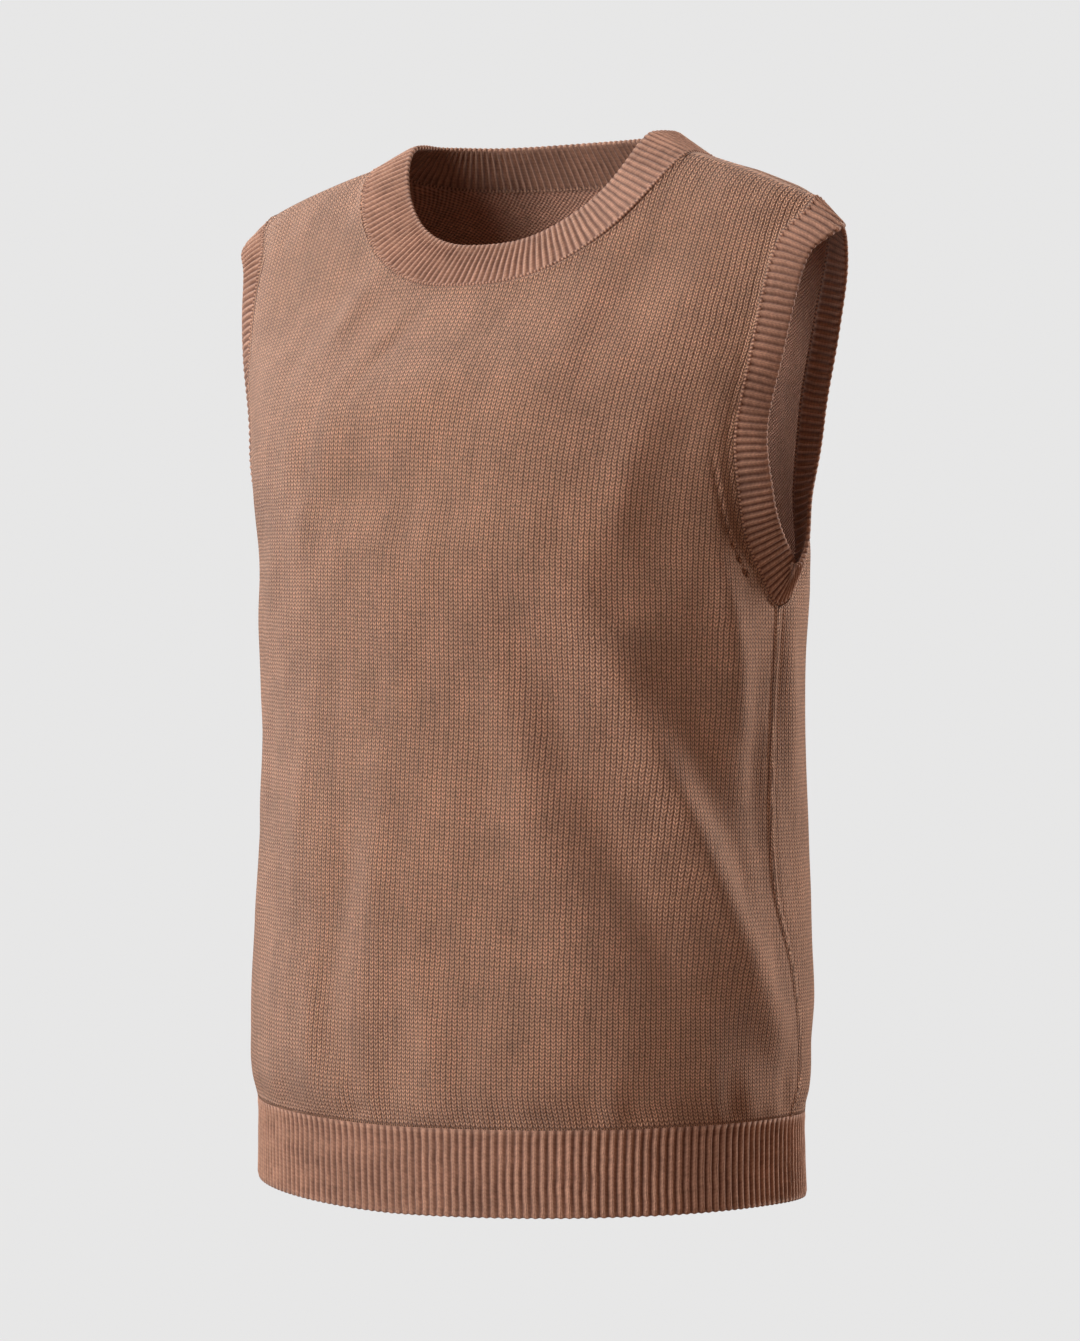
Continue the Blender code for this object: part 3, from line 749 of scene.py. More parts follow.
@dataclass(frozen=True)
class KnitFinish:
    """Cotton-blend yarn, dyed in the ply and knitted: matt and a little hairy.

    The plies' tops take the light; the gaps between the loops and the sunk wales get the hollow colour,
    painted shade that gives the eye the stitch. The hair on the yarn lightens the cloth where it turns away.
    """

    name: str
    stitch: Stitch
    crest: str
    hollow_shade: str
    relief: float
    roughness: float = 0.8
    sheen: float = 0.22
    sheen_tint: str = "FFF4EE"
    # How far the stitches stray from an even grid, in stitches.
    stray: float = 0.24
    # The largest mottling of the colour, partly the dye's and partly painted shade of the cloth's unevenness,
    # as a share of its lightness.
    mottle_and_shade: float = 0.38
    # How much lighter or darker one wale is than the next.
    streak: float = 0.34

    def make(self) -> bpy.types.Material:
        """Return the finish as a material that reads the knit's own coordinates."""
        material = bpy.data.materials.new(self.name)
        material.use_nodes = True
        tree = material.node_tree
        tree.nodes.clear()
        knit = add_node(tree, "ShaderNodeUVMap", {"uv_map": "knit"}, {}).outputs["UV"]
        place = add_node(tree, "ShaderNodeTexCoord", {}, {}).outputs["Object"]
        drift = add_node(tree, "ShaderNodeTexNoise", {}, {"Vector": knit, "Scale": 0.22, "Detail": 2.0})
        split = add_node(tree, "ShaderNodeSeparateXYZ", {}, {0: knit})
        wander = add_node(tree, "ShaderNodeSeparateColor", {}, {0: drift.outputs["Color"]})
        values = {"u0": split.outputs[0], "v0": split.outputs[1]}
        values |= {"du": wander.outputs[0], "dv": wander.outputs[1]}
        stray = [
            Step("du1", "SUBTRACT", "du", 0.5),
            Step("dv1", "SUBTRACT", "dv", 0.5),
            Step("du2", "MULTIPLY", "du1", 2 * self.stray),
            Step("dv2", "MULTIPLY", "dv1", 4 * self.stray),
            Step("wale", "ADD", "u0", "du2"),
            Step("course", "ADD", "v0", "dv2"),
        ]
        self.work_out(tree, stray + STITCH_STEPS[self.stitch], values)
        relief = values["relief"]
        fibre = add_node(tree, "ShaderNodeTexNoise", {}, {"Vector": place, "Scale": 2600.0, "Detail": 3.0})
        # Large blotches: partly the dye's mottling, partly painted shade of the cloth's unevenness.
        blotch = add_node(
            tree, "ShaderNodeTexNoise", {}, {"Vector": place, "Scale": 34.0, "Detail": 5.0, "Roughness": 0.62}
        )
        loop = add_node(
            tree, "ShaderNodeTexNoise", {}, {"Vector": knit, "Scale": 0.9, "Detail": 1.0, "Roughness": 0.4}
        )
        stretched = add_node(tree, "ShaderNodeMapping", {}, {"Vector": knit, "Scale": (1.0, 0.02, 1.0)})
        streak = add_node(
            tree, "ShaderNodeTexNoise", {}, {"Vector": stretched.outputs[0], "Scale": 0.8, "Detail": 2.0}
        )
        shade = [
            Step("k1", "SUBTRACT", "streak", 0.5),
            Step("k2", "MULTIPLY", "k1", self.streak),
            Step("f1", "SUBTRACT", "fibre", 0.5),
            Step("f2", "MULTIPLY", "f1", 0.5),
            Step("b1", "SUBTRACT", "blotch", 0.5),
            Step("b2", "MULTIPLY", "b1", 2 * self.mottle_and_shade),
            Step("l1", "SUBTRACT", "loop", 0.5),
            Step("l2", "MULTIPLY", "l1", 0.6),
            Step("s1", "ADD", "f2", "b2"),
            Step("s2", "ADD", "s1", "l2"),
            Step("s3", "ADD", "s2", "k2"),
            Step("gain", "ADD", "s3", 1.0),
            Step("fuzz", "MULTIPLY", "f1", 0.35),
            Step("height", "ADD", "relief", "fuzz"),
        ]
        noises = {"fibre": fibre, "blotch": blotch, "loop": loop, "streak": streak}
        values |= {name: noise.outputs["Fac"] for name, noise in noises.items()}
        self.work_out(tree, shade, values)
        # The colour runs from the crest colour, the yarn's own, down to the hollow colour, painted shade in
        # the gaps between loops and wales.
        mix = add_node(
            tree,
            "ShaderNodeMix",
            {"data_type": "RGBA"},
            {0: relief, 6: srgb(self.hollow_shade), 7: srgb(self.crest)},
        )
        colour = add_node(
            tree,
            "ShaderNodeVectorMath",
            {"operation": "SCALE"},
            {0: mix.outputs[2], "Scale": values["gain"]},
        )
        bump = add_node(
            tree,
            "ShaderNodeBump",
            {},
            {"Strength": 1.0, "Distance": self.relief * MM, "Height": values["height"]},
        )
        shader = add_node(
            tree,
            "ShaderNodeBsdfPrincipled",
            {},
            {
                "Base Color": colour.outputs[0],
                "Roughness": self.roughness,
                "Normal": bump.outputs["Normal"],
                "Sheen Weight": self.sheen,
                "Sheen Roughness": 0.45,
                "Sheen Tint": srgb(self.sheen_tint),
                "Specular IOR Level": 0.3,
            },
        )
        add_node(tree, "ShaderNodeOutputMaterial", {}, {"Surface": shader.outputs[0]})
        return material

    @staticmethod
    def work_out(tree: bpy.types.NodeTree, steps: Sequence[Step], values: dict) -> None:
        """Add a formula's steps as nodes, and name their results in values.

        Args:
            tree: The tree they go in.
            steps: The steps.
            values: The sockets so far, by name.
        """
        for step in steps:
            links = {
                index: values[part] if isinstance(part, str) else part
                for index, part in enumerate((step.first, step.second, step.third))
            }
            node = add_node(tree, "ShaderNodeMath", {"operation": step.operation}, links)
            values[step.result] = node.outputs[0]


class Weft(NamedTuple):
    """A shell's points and knit coordinates, and the faces' finish, as grids of rows."""

    points: np.ndarray
    knit: np.ndarray
    slots: np.ndarray
    closed: bool


def add_shell(name: str, weft: Weft, finishes: Sequence[bpy.types.Material]) -> bpy.types.Object:
    """Build a piece from a grid that runs round its outer and inner faces.

    Args:
        name: The piece's name.
        weft: The grid. Its last row joins its first, and so do its columns if it is closed.
        finishes: The materials that the slots number.

    Returns:
        The object.
    """
    rows, columns = weft.points.shape[:2]
    last = columns if weft.closed else columns - 1
    row, col = np.meshgrid(np.arange(rows), np.arange(last), indexing="ij")
    right, above = (col + 1) % columns, (row + 1) % rows
    corners = [row * columns + col, row * columns + right, above * columns + right, above * columns + col]
    quads = np.stack(corners, axis=-1).reshape(-1, 4)
    across = [col, col + 1, col + 1, col]
    up = [row, row, above, above]
    furthest = weft.knit.shape[1] - 1
    knit = np.stack([weft.knit[u % rows, np.minimum(a, furthest)] for u, a in zip(up, across)], axis=2)
    slots = weft.slots[row].reshape(-1)
    mesh = bpy.data.meshes.new(name)
    faces = quads.tolist()
    slots = slots.tolist()
    uvs = knit.reshape(-1, 2)
    if not weft.closed:
        for edge in (0, columns - 1):
            for low in range(rows // 2 - 1):
                high = rows - 1 - low
                ring = [low, high, high - 1, low + 1]
                if edge:
                    ring.reverse()
                faces.append([r * columns + edge for r in ring])
                slots.append(0)
                uvs = np.concatenate((uvs, weft.knit[ring, edge]))
    mesh.from_pydata((weft.points.reshape(-1, 3) * MM).tolist(), [], faces)
    layer = mesh.uv_layers.new(name="knit")
    layer.data.foreach_set("uv", np.asarray(uvs, dtype=np.float32).reshape(-1))
    mesh.polygons.foreach_set("use_smooth", np.ones(len(faces), dtype=bool))
    mesh.polygons.foreach_set("material_index", np.array(slots, dtype=np.int32))
    for finish in finishes:
        mesh.materials.append(finish)
    mesh.update()
    mesh.validate()
    piece = bpy.data.objects.new(name, mesh)
    bpy.context.scene.collection.objects.link(piece)
    return piece


@dataclass
class Cut:
    """What a piece was cut to, flat, in metres."""

    width: float
    length: float
    area: float


def outer_run(points: np.ndarray) -> np.ndarray:
    """Return each point's distance down its own column from the top row.

    Args:
        points: The points, in rows from the lowest up.

    Returns:
        The distances.
    """
    steps = np.linalg.norm(np.diff(points[::-1], axis=0), axis=-1)
    run = np.concatenate((np.zeros((1, points.shape[1])), np.cumsum(steps, axis=0)))
    return run[::-1]


@dataclass
class Panel:
    """A front or back panel in plain stitch."""

    name: str
    side: Side
    cut: Cut
    columns: int = 98
    lower_rows: int = 118
    upper_rows: int = 118
    # The part of the columns that ends on the neck seam; the others end on the shoulder.
    neck_part: float = 0.62
    # The part of the columns' spacing that is even; the rest crowds them to the edges.
    even_part: float = 0.35
    # How much lower a course hangs on the wearer's left than in the middle, for each unit across.
    tilt: float = 0.045
    # The ridge that the seam allowance raises along the panel's sides, its width, and the groove
    # beside it.
    seam_ridge: float = 0.5
    seam_width: float = 2.2
    seam_groove: float = 0.35
    # How deep the marks of the fashioning are, and their spacing along the armhole.
    mark_depth: float = 1.8
    mark_pitch: float = 8.6

    def places(self, form: BodyForm) -> np.ndarray:
        """Work out where the panel's points lie on the form.

        Args:
            form: The body form.

        Returns:
            Their (share, level) places, in rows from the panel's foot up.
        """
        half = self.columns
        neck_half = int(half * self.neck_part)
        even_share = np.arange(-half, half + 1) / half
        share = self.even_part * even_share + (1 - self.even_part) * np.sin(math.pi / 2 * even_share)
        turns = np.linspace(-90, 90, 721)
        seam = form.neck_places(self.side, turns)
        points = form.point(self.side, seam[:, 0], seam[:, 1])
        run = np.concatenate(([0.0], np.cumsum(np.linalg.norm(np.diff(points, axis=0), axis=1))))
        middle = run[len(turns) // 2]
        run -= middle
        ends = np.where(np.arange(-neck_half, neck_half + 1) < 0, -run[0], run[-1])
        even = np.interp(np.arange(-neck_half, neck_half + 1) / neck_half * ends, run, turns)
        neck = form.neck_places(self.side, even)
        outer = np.arange(1, half - neck_half + 1) / (half - neck_half)
        left = -1 + (neck[0, 0] + 1) * (1 - outer[::-1])
        right = neck[-1, 0] + (1 - neck[-1, 0]) * outer
        top_share = np.concatenate((left, neck[:, 0], right))
        top_level = np.concatenate((0 * left, neck[:, 1], 0 * right))
        rows = []
        for row in range(self.lower_rows):
            level = PANEL_FOOT + (UNDERARM - PANEL_FOOT) * row / self.lower_rows
            rows.append(np.stack([share, np.full(len(share), level)], axis=-1))
        for row in range(self.upper_rows + 1):
            eased = (1 - math.cos(math.pi * row / self.upper_rows)) / 2
            part = 0.5 * eased + 0.5 * (row / self.upper_rows)
            place = (share + (top_share - share) * part**2, UNDERARM + (top_level - UNDERARM) * part)
            rows.append(np.stack(place, axis=-1))
        return np.array(rows)

    def build(self, form: BodyForm, finishes: Sequence[bpy.types.Material]) -> bpy.types.Object:
        """Args:
            form: The body form.
            finishes: The outer and the inner finish.

        Returns:
            The object.
        """
        places = self.places(form)
        share, level = places[..., 0], places[..., 1]
        points = form.point(self.side, share, level)
        normals = form.normal(self.side, share, level)
        half = form.half_run(self.side, level)
        wale = share * half
        course = level + self.tilt * points[..., 0] * smooth_step((level - PANEL_FOOT) / 90.0)
        lift = form.fold_lift(points, FOLDS)
        edge = (1 - np.abs(share)) * half
        inside = smooth_step(edge / 25.0) * smooth_step(outer_run(points) / 20.0)
        lift += self.unevenness(wale, course, level) * inside
        lift += self.fashioning(edge, level)
        lift += self.seam_ridge * bump_at(edge, 0.9, self.seam_width / 2)
        lift -= self.seam_groove * bump_at(edge, 3.6, 1.2)
        at_neck = np.abs(np.linspace(-1, 1, share.shape[1])) < self.neck_part
        lift += self.link_ridge(outer_run(points)) * at_neck
        outer = points + normals * lift[..., None]
        inner = outer - normals * PANEL_WALL
        flip = slice(None) if self.side is Side.FRONT else slice(None, None, -1)
        knit = np.stack([wale / WALE, course / COURSE], axis=-1)[:, flip]
        grid = np.concatenate((outer[:, flip], inner[::-1, flip]))
        coordinates = np.concatenate((knit, knit[::-1]))
        rows = len(outer)
        slots = np.concatenate((np.zeros(rows, int), np.ones(rows, int)))
        piece = add_shell(self.name, Weft(grid, coordinates, slots, False), finishes)
        finish_piece(piece, self.name, self.cut)
        return piece

    def fashioning(self, edge: np.ndarray, level: np.ndarray) -> np.ndarray:
        """Work out the marks beside the armhole where stitches were moved in to narrow the panel.

        Args:
            edge: Each point's distance from the panel's side.
            level: Its level.

        Returns:
            How far the marks lift each point.
        """
        beside = bump_at(edge, 12.5, 1.5) - 0.6 * bump_at(edge, 9.5, 1.6)
        along = smooth_step((level + 262.0) / 14.0) * smooth_step((-165.0 - level) / 30.0)
        return -self.mark_depth * beside * along * np.cos(math.pi * level / self.mark_pitch) ** 2

    @staticmethod
    def link_ridge(below: np.ndarray) -> np.ndarray:
        """Return the ridge that the neckband's linking pulls up, at distances below the seam."""
        return 0.55 * bump_at(below, 2.4, 1.2) - 0.35 * bump_at(below, 0.2, 0.9)

    @staticmethod
    def unevenness(wale: np.ndarray, course: np.ndarray, level: np.ndarray) -> np.ndarray:
        """Work out the cloth's small unevenness, and the puckers where it is gathered into the rib.

        Args:
            wale: Each point's distance round from the centre line.
            course: Its distance up the cloth.
            level: Its level.

        Returns:
            How far they lift each point.
        """
        above = level - PANEL_FOOT
        lift = 1.2 * soft_noise(wale, course * 0.6, 44.0, 3) + 0.8 * soft_noise(wale, course * 0.5, 16.0, 4)
        gather = bump_at(above, 0.0, 32.0) * smooth_step(above / 6.0)
        puckers = 1.7 * gather * soft_noise(wale, course * 0.2, 12.0, 5)
        return lift * smooth_step(above / 20.0) + puckers


@dataclass
class RibShape:
    """How a rib's relief runs across a piece, from where it is joined on to its free edge."""

    pitch: float
    crest: float = 0.55
    groove: float = 0.75
    steps: int = 8
    # Lengths over which the ribs rise from the seam and sink at the free edge.
    rise: float = 3.0
    sink: float = 1.6

    def relief(self, phase: np.ndarray, along: np.ndarray, width: np.ndarray) -> np.ndarray:
        """Return the ribs' height at a phase round the band and a distance from its seam.

        Args:
            phase: The rib count at each column.
            along: Each point's distance from the seam.
            width: The band's width at each column.

        Returns:
            The heights.
        """
        wave = (0.5 + 0.5 * np.cos(2 * math.pi * phase)) ** 0.75
        height = wave * (self.crest + self.groove) - self.groove
        fade = smooth_step(along / self.rise) * smooth_step((width - along) / self.sink)
        return height * fade


def ribbed_rows(
    outer: np.ndarray,
    facing: np.ndarray,
    phase: np.ndarray,
    along: np.ndarray,
    width: np.ndarray,
    rib: RibShape,
) -> tuple[np.ndarray, np.ndarray]:
    """Work out a ribbed shell's points, round its outer face, free edge and inner face.

    Args:
        outer: The plain outer face, rows from the seam to the free edge.
        facing: Its normals.
        phase: The rib count at each column.
        along: Each row's distance from the seam, at each column.
        width: The band's width at each column.
        rib: The ribs' shape.

    Returns:
        The points, and each row's distance from the seam.
    """
    crest = rib.relief(phase, along, width)
    under = rib.relief(phase + 0.5, along, width)
    half = RIB_WALL / 2
    face = outer + facing * crest[..., None]
    inside = outer - facing * (RIB_WALL + under)[..., None]
    way = unit(outer[-1] - outer[-2])
    middle = outer[-1] - facing[-1] * half
    wave = 0.28 * np.cos(2 * math.pi * phase)[..., None]
    turn = []
    for angle in np.radians(EDGE_TURNS):
        past = half * 0.8 * math.cos(angle) + wave
        turn.append(middle + facing[-1] * half * math.sin(angle) + way * past)
    points = np.concatenate((face, np.array(turn), inside[::-1]))
    reach = np.concatenate((along, np.repeat(along[-1:], len(EDGE_TURNS), axis=0), along[::-1]))
    return points, reach


@dataclass
class HemRib:
    """The rib at the foot of a panel."""

    name: str
    side: Side
    cut: Cut
    rib: RibShape = field(default_factory=lambda: RibShape(HEM_RIB))
    rows: int = 20
    # The courses already knitted where it starts, which keeps it clear of the linking's own course.
    courses_on: float = 5.0

    def build(self, form: BodyForm, finishes: Sequence[bpy.types.Material]) -> bpy.types.Object:
        """Args:
            form: The body form.
            finishes: Its one finish, as a list of slots.

        Returns:
            The object.
        """
        run = float(form.half_run(self.side, np.array(HEM)))
        count = round(2 * run / self.rib.pitch)
        columns = count * self.rib.steps + 1
        share = np.linspace(-1, 1, columns)
        depth = PANEL_FOOT - HEM
        level = PANEL_FOOT - depth * np.linspace(0, 1, self.rows) ** 0.9
        shares, levels = np.meshgrid(share, level)
        outer = form.point(self.side, shares, levels)
        facing = form.normal(self.side, shares, levels)
        along = np.repeat((PANEL_FOOT - level)[:, None], columns, axis=1)
        width = np.full(columns, depth)
        phase = (share + 1) / 2 * count
        sway = 0.35 * soft_noise(phase * self.rib.pitch, along[:, :1] * 0 + phase, 30.0, 8)
        outer = outer + facing * sway[..., None]
        points, reach = ribbed_rows(outer, facing, phase, along, width, self.rib)
        rows = len(points)
        ribs = np.repeat(phase[None] + 0.5, rows, axis=0)
        knit = np.stack([ribs, self.courses_on + reach / COURSE], axis=-1)
        slots = np.zeros(rows, int)
        if self.side is Side.FRONT:
            points, knit = points[:, ::-1], knit[:, ::-1]
        piece = add_shell(self.name, Weft(points, knit, slots, False), finishes)
        finish_piece(piece, self.name, self.cut)
        return piece


@dataclass
class Band:
    """A ribbed band on a closed seam."""

    name: str
    cut: Cut
    rib: RibShape = field(default_factory=lambda: RibShape(TRIM_RIB))
    rows: int = 20
    # The linking chain that lies on the seam: how far it stands up, and where along the width.
    chain: float = 0.95
    chain_place: float = 0.9
    # The distance over which the band turns from one side's direction to the other's.
    ease: float = 7.0
    # How far the free edge curls in towards the body.
    curl: float = 3.0

    def build_on(
        self,
        seam: np.ndarray,
        normals: np.ndarray,
        widths: np.ndarray,
        lifts: np.ndarray,
        finishes: Sequence[bpy.types.Material],
    ) -> bpy.types.Object:
        """Args:
            seam: The closed seam, anticlockwise seen from outside.
            normals: The body's normals along it.
            widths: The band's width at each point.
            lifts: The angle that it stands off the body at each point.
            finishes: Its one finish, as a list of slots.

        Returns:
            The object.
        """
        closed = np.concatenate((seam, seam[:1]))
        run = np.concatenate(([0.0], np.cumsum(np.linalg.norm(np.diff(closed, axis=0), axis=1))))
        count = round(run[-1] / self.rib.pitch)
        places = np.arange(count * self.rib.steps) / (count * self.rib.steps) * run[-1]

        def even(values: np.ndarray) -> np.ndarray:
            """Return values at even distances round the seam."""
            looped = np.concatenate((values, values[:1]))
            if looped.ndim == 1:
                return np.interp(places, run, looped)
            return np.stack([np.interp(places, run, looped[:, i]) for i in range(looped.shape[1])], axis=-1)

        spacing = self.rib.pitch / self.rib.steps
        seam, normals = even(seam), unit(eased_round(even(normals), self.ease, spacing))
        seam = eased_round(seam, 2.5, spacing)
        widths, lifts = even(widths), even(lifts)
        tangents = np.roll(seam, -2, axis=0) - np.roll(seam, 2, axis=0)
        tangents = unit(eased_round(tangents, self.ease, spacing))
        across = unit(np.cross(normals, tangents))
        angle = np.radians(lifts)[:, None]
        way = across * np.cos(angle) + np.cross(tangents, across) * np.sin(angle)
        way = unit(eased_round(way, self.ease, spacing))
        flat = unit(np.cross(tangents, way))
        share = (np.linspace(0, 1, self.rows) ** 1.5)[:, None]
        along = share * widths[None]
        outer = seam[None] + way[None] * along[..., None]
        outer = outer - flat[None] * (self.curl * share**2)[..., None]
        blend = smooth_step(along / 4.0)[..., None]
        facing = unit(normals[None] * (1 - blend) + flat[None] * blend)
        phase = np.arange(count * self.rib.steps) / self.rib.steps
        bead = self.chain * bump_at(along, self.chain_place, 0.8)
        bead *= 0.65 + 0.35 * np.cos(4 * math.pi * phase)
        outer = outer + facing * bead[..., None]
        points, reach = ribbed_rows(outer, facing, phase, along, widths, self.rib)
        rows = len(points)
        ribs = np.concatenate((phase, [count])) + 0.5
        courses = np.concatenate((reach, reach[:, :1]), axis=1) / COURSE
        knit = np.stack([np.repeat(ribs[None], rows, axis=0), courses], axis=-1)
        slots = np.zeros(rows, int)
        piece = add_shell(self.name, Weft(points, knit, slots, True), finishes)
        finish_piece(piece, self.name, self.cut)
        return piece


def finish_piece(piece: bpy.types.Object, node: str, cut: Cut) -> None:
    """Attach a piece to the body, hide the solid it replaces, and log its size and the area it was cut to.

    Args:
        piece: The piece.
        node: The solid it replaces.
        cut: Its flat size.
    """
    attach(piece, "root")
    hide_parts(node)
    mesh = piece.data
    areas = np.empty(len(mesh.polygons))
    mesh.polygons.foreach_get("area", areas)
    half = areas.sum() / 2
    LOG.info("%s: %d faces, half surface %.4f m2, cut %.4f m2", piece.name, len(areas), half, cut.area)


@dataclass
class Vest:
    """The whole vest: its form, its finishes and its seven pieces."""

    form: BodyForm = field(default_factory=BodyForm)
    ring_samples: int = 360

    def neck_ring(self) -> tuple[np.ndarray, np.ndarray, np.ndarray]:
        """Return the neck seam, its normals and the neckband's stand, anticlockwise from above.

        Returns:
            The three, point by point.
        """
        turns = np.linspace(-90, 90, self.ring_samples + 1)
        parts = []
        for side, order in ((Side.FRONT, turns), (Side.BACK, turns[::-1][1:-1])):
            places = self.form.neck_places(side, order)
            seam = self.form.point(side, places[:, 0], places[:, 1])
            normals = self.form.normal(side, places[:, 0], places[:, 1])
            turned = np.abs(order) if side is Side.FRONT else 180 - np.abs(order)
            stand = curve_through(column(NECKBAND_STAND, "turn"), column(NECKBAND_STAND, "stand"), turned)
            parts.append((seam, normals, stand))
        return tuple(np.concatenate(group) for group in zip(*parts))

    def armhole_ring(self, sign: int) -> tuple[np.ndarray, ...]:
        """Return an armhole's seam, normals, band widths and flare, anticlockwise from outside.

        Args:
            sign: 1 for the wearer's left, -1 for the right.

        Returns:
            The four, point by point.
        """
        turns = np.linspace(0, 180, self.ring_samples + 1)
        groups = []
        for side, order in ((Side.BACK, turns), (Side.FRONT, turns[::-1][1:-1])):
            level = UNDERARM * (1 + np.cos(np.radians(order))) / 2
            share = np.full(len(order), float(sign))
            seam = self.form.point(side, share, level)
            normals = self.form.normal(side, share, level)
            name = "back_flare" if side is Side.BACK else "front_flare"
            keys = column(ARMHOLE, "turn")
            width = curve_through(keys, column(ARMHOLE, "band_width"), order)
            flare = curve_through(keys, column(ARMHOLE, name), order)
            groups.append((seam, normals, width, flare))
        ring = [np.concatenate(group) for group in zip(*groups)]
        return tuple(part[::-1] for part in ring) if sign < 0 else tuple(ring)

    def build(self) -> None:
        """Build every piece and report it."""
        # The second colour of each finish is painted shade for the gaps between the loops and the sunk wales.
        jersey = KnitFinish("cotton jersey", Stitch.JERSEY, "EEB999", "4A271D", 1.4).make()
        # The purl colours are lifted as painted light, so that the shaded inside seen through the neck is
        # less dark.
        purl = KnitFinish("cotton purl", Stitch.PURL, "D6A48B", "704536", 0.8).make()
        ribbing = KnitFinish("cotton ribbing", Stitch.RIB, "C1957D", "462723", 0.55).make()
        for name, side, cut in (
            ("front_panel", Side.FRONT, Cut(0.52, 0.56, 0.250)),
            ("back_panel", Side.BACK, Cut(0.46, 0.57, 0.235)),
        ):
            Panel(name, side, cut).build(self.form, (jersey, purl))
        for name, side, cut in (
            ("hem_rib_front", Side.FRONT, Cut(0.50, 0.048, 0.024)),
            ("hem_rib_back", Side.BACK, Cut(0.42, 0.048, 0.0201)),
        ):
            HemRib(name, side, cut).build(self.form, (ribbing,))
        seam, normals, stand = self.neck_ring()
        widths = np.full(len(seam), NECKBAND_WIDTH)
        neckband = Band("neckband", Cut(0.56, 0.030, 0.0168), ease=18.0, curl=1.2)
        neckband.build_on(seam, normals, widths, stand, (ribbing,))
        for name, sign in (("armhole_band_left", 1), ("armhole_band_right", -1)):
            seam, normals, widths, flare = self.armhole_ring(sign)
            Band(name, Cut(0.53, 0.021, 0.0111)).build_on(seam, normals, widths, flare, (ribbing,))


class Lamp(NamedTuple):
    """A round soft lamp: where it stands round the vest, in degrees and metres, and its light."""

    name: str
    azimuth: float
    elevation: float
    distance: float
    size: float
    watts: float
    tint: str


LAMPS = [
    Lamp("key", -14.0, 12.0, 3.0, 2.2, 70.0, "FFFFFF"),
    Lamp("upper", -36.0, 46.0, 3.0, 1.6, 46.0, "FFFFFF"),
    Lamp("side", -100.0, 36.0, 3.0, 1.6, 52.0, "FFFFFF"),
    Lamp("rim", 157.0, 20.0, 3.0, 1.6, 112.0, "FFFAF4"),
]


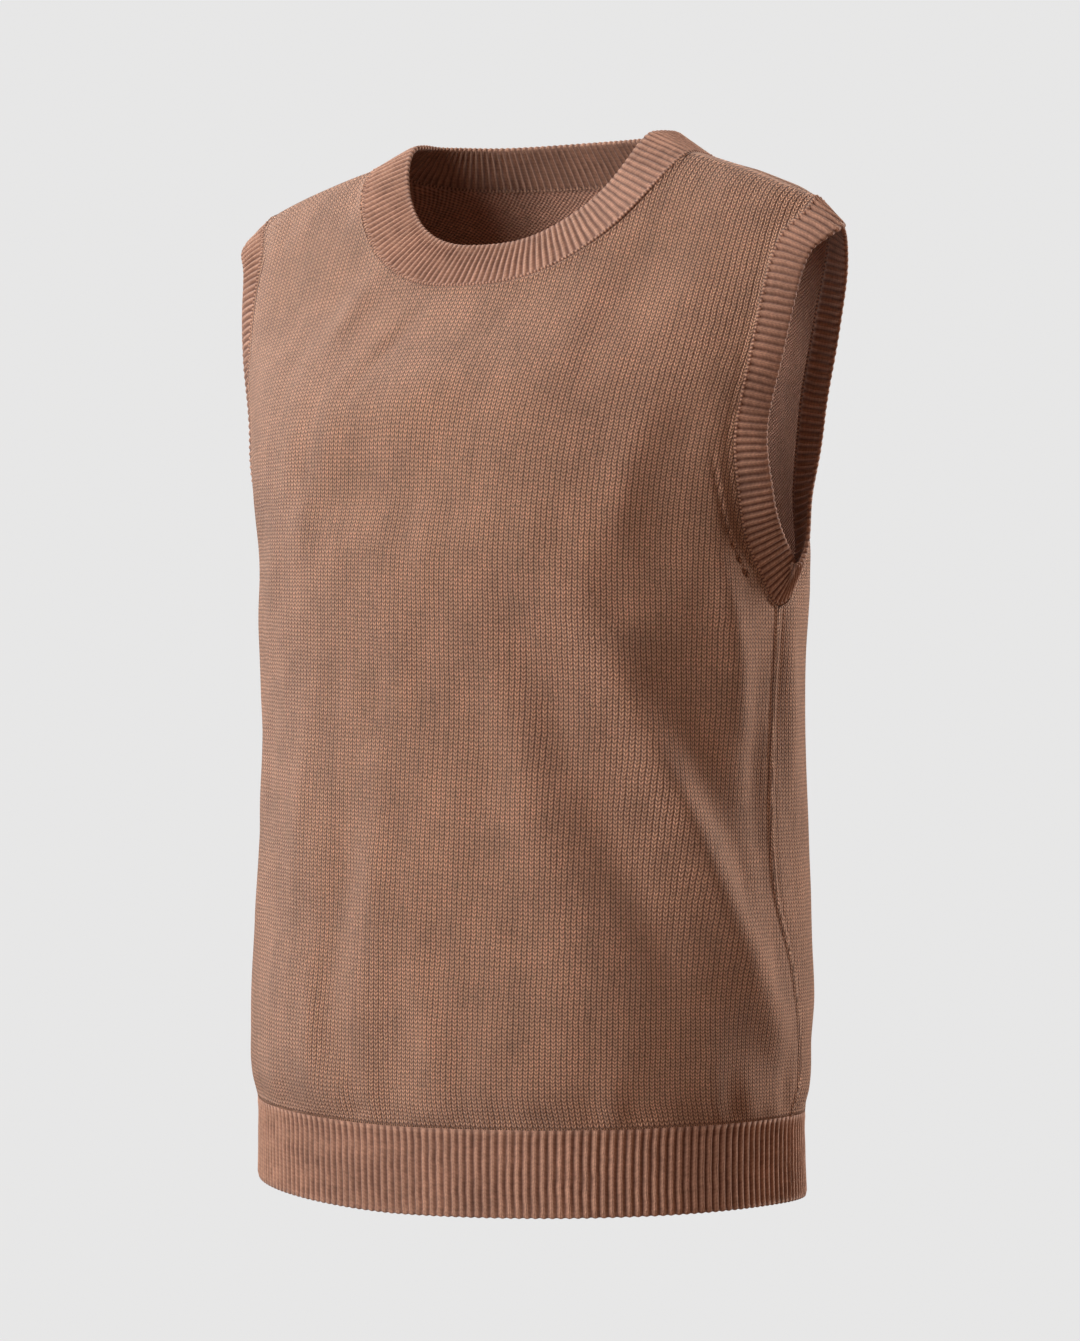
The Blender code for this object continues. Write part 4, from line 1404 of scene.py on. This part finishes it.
@dataclass
class Studio:
    """A plain pale studio: a round sweep of floor, soft lights and the camera."""

    # The camera stands level, this far off and this far round to the wearer's left.
    distance: float = 2.8
    azimuth: float = 36.0
    height: float = -0.305
    lens: float = 132.67
    sensor: float = 36.0
    shift_x: float = 0.0037
    floor_height: float = -1.45
    floor_radius: float = 7.0
    # How far below the shoulders the lamps are aimed.
    aim_below: float = 0.3

    def build(self) -> None:
        """Build the studio."""
        self.add_camera()
        self.add_sweep()
        self.add_lights()
        bpy.context.scene.view_settings.view_transform = "Standard"

    def add_camera(self) -> None:
        """Add the camera and make it the scene's."""
        data = bpy.data.cameras.new("camera")
        data.lens, data.sensor_width, data.shift_x = self.lens, self.sensor, self.shift_x
        data.clip_end = 60.0
        camera = bpy.data.objects.new("camera", data)
        turn = math.radians(self.azimuth)
        camera.location = (self.distance * math.sin(turn), -self.distance * math.cos(turn), self.height)
        camera.rotation_euler = (math.pi / 2, 0.0, turn)
        bpy.context.scene.collection.objects.link(camera)
        bpy.context.scene.camera = camera

    def add_sweep(self) -> None:
        """Add the floor, which curves up into a plain round wall."""
        rings = [(0.001, 0.0), (self.floor_radius * 0.7, 0.0)]
        bend = self.floor_radius * 0.3
        for step in range(1, 13):
            angle = math.pi / 2 * step / 12
            rings.append((self.floor_radius * 0.7 + bend * math.sin(angle), bend * (1 - math.cos(angle))))
        rings.append((self.floor_radius, 5.0))
        around = 96
        vertices, faces = [], []
        for radius, height in rings:
            for step in range(around):
                angle = 2 * math.pi * step / around
                x, y = radius * math.cos(angle), radius * math.sin(angle)
                vertices.append((x, y, self.floor_height + height))
        for ring in range(len(rings) - 1):
            for step in range(around):
                right = (step + 1) % around
                base, above = ring * around, (ring + 1) * around
                faces.append((base + step, base + right, above + right, above + step))
        mesh = bpy.data.meshes.new("floor")
        mesh.from_pydata(vertices, [], faces)
        mesh.polygons.foreach_set("use_smooth", np.ones(len(faces), dtype=bool))
        material = bpy.data.materials.new("painted studio floor")
        material.use_nodes = True
        tree = material.node_tree
        tree.nodes.clear()
        shader = add_node(
            tree,
            "ShaderNodeBsdfPrincipled",
            {},
            {
                "Base Color": srgb("2A2A2A"),
                "Roughness": 1.0,
                "Specular IOR Level": 0.0,
                "Emission Color": srgb("E6E6E6"),
                "Emission Strength": 1.0,
            },
        )
        add_node(tree, "ShaderNodeOutputMaterial", {}, {"Surface": shader.outputs[0]})
        mesh.materials.append(material)
        floor = bpy.data.objects.new("floor", mesh)
        # The sweep stays pale without lighting the vest, as a far floor lit by lamps of its own does.
        floor.visible_diffuse = False
        floor.visible_glossy = False
        bpy.context.scene.collection.objects.link(floor)

    def add_lights(self) -> None:
        """Add the lamps, aimed at the vest's middle, and the room's own low warm light."""
        for row in LAMPS:
            data = bpy.data.lights.new(row.name, "AREA")
            data.shape, data.size, data.energy = "DISK", row.size, row.watts
            data.color = srgb(row.tint)[:3]
            lamp = bpy.data.objects.new(row.name, data)
            turn, rise = math.radians(row.azimuth), math.radians(row.elevation)
            away = (math.sin(turn) * math.cos(rise), -math.cos(turn) * math.cos(rise), math.sin(rise))
            lamp.location = [row.distance * part for part in away]
            lamp.location.z -= self.aim_below
            lamp.rotation_euler = (math.pi / 2 - rise, 0.0, turn)
            bpy.context.scene.collection.objects.link(lamp)
        world = bpy.data.worlds.new("room")
        world.use_nodes = True
        tree = world.node_tree
        tree.nodes.clear()
        sky = add_node(tree, "ShaderNodeBackground", {}, {"Color": srgb("FFCDB0"), "Strength": 0.25})
        add_node(tree, "ShaderNodeOutputWorld", {}, {"Surface": sky.outputs[0]})
        bpy.context.scene.world = world


def main() -> None:
    """Build the vest, which logs each piece's size, and its studio."""
    logging.basicConfig(level=logging.INFO, format="%(message)s")
    Vest().build()
    Studio().build()


if __name__ == "__main__":
    main()
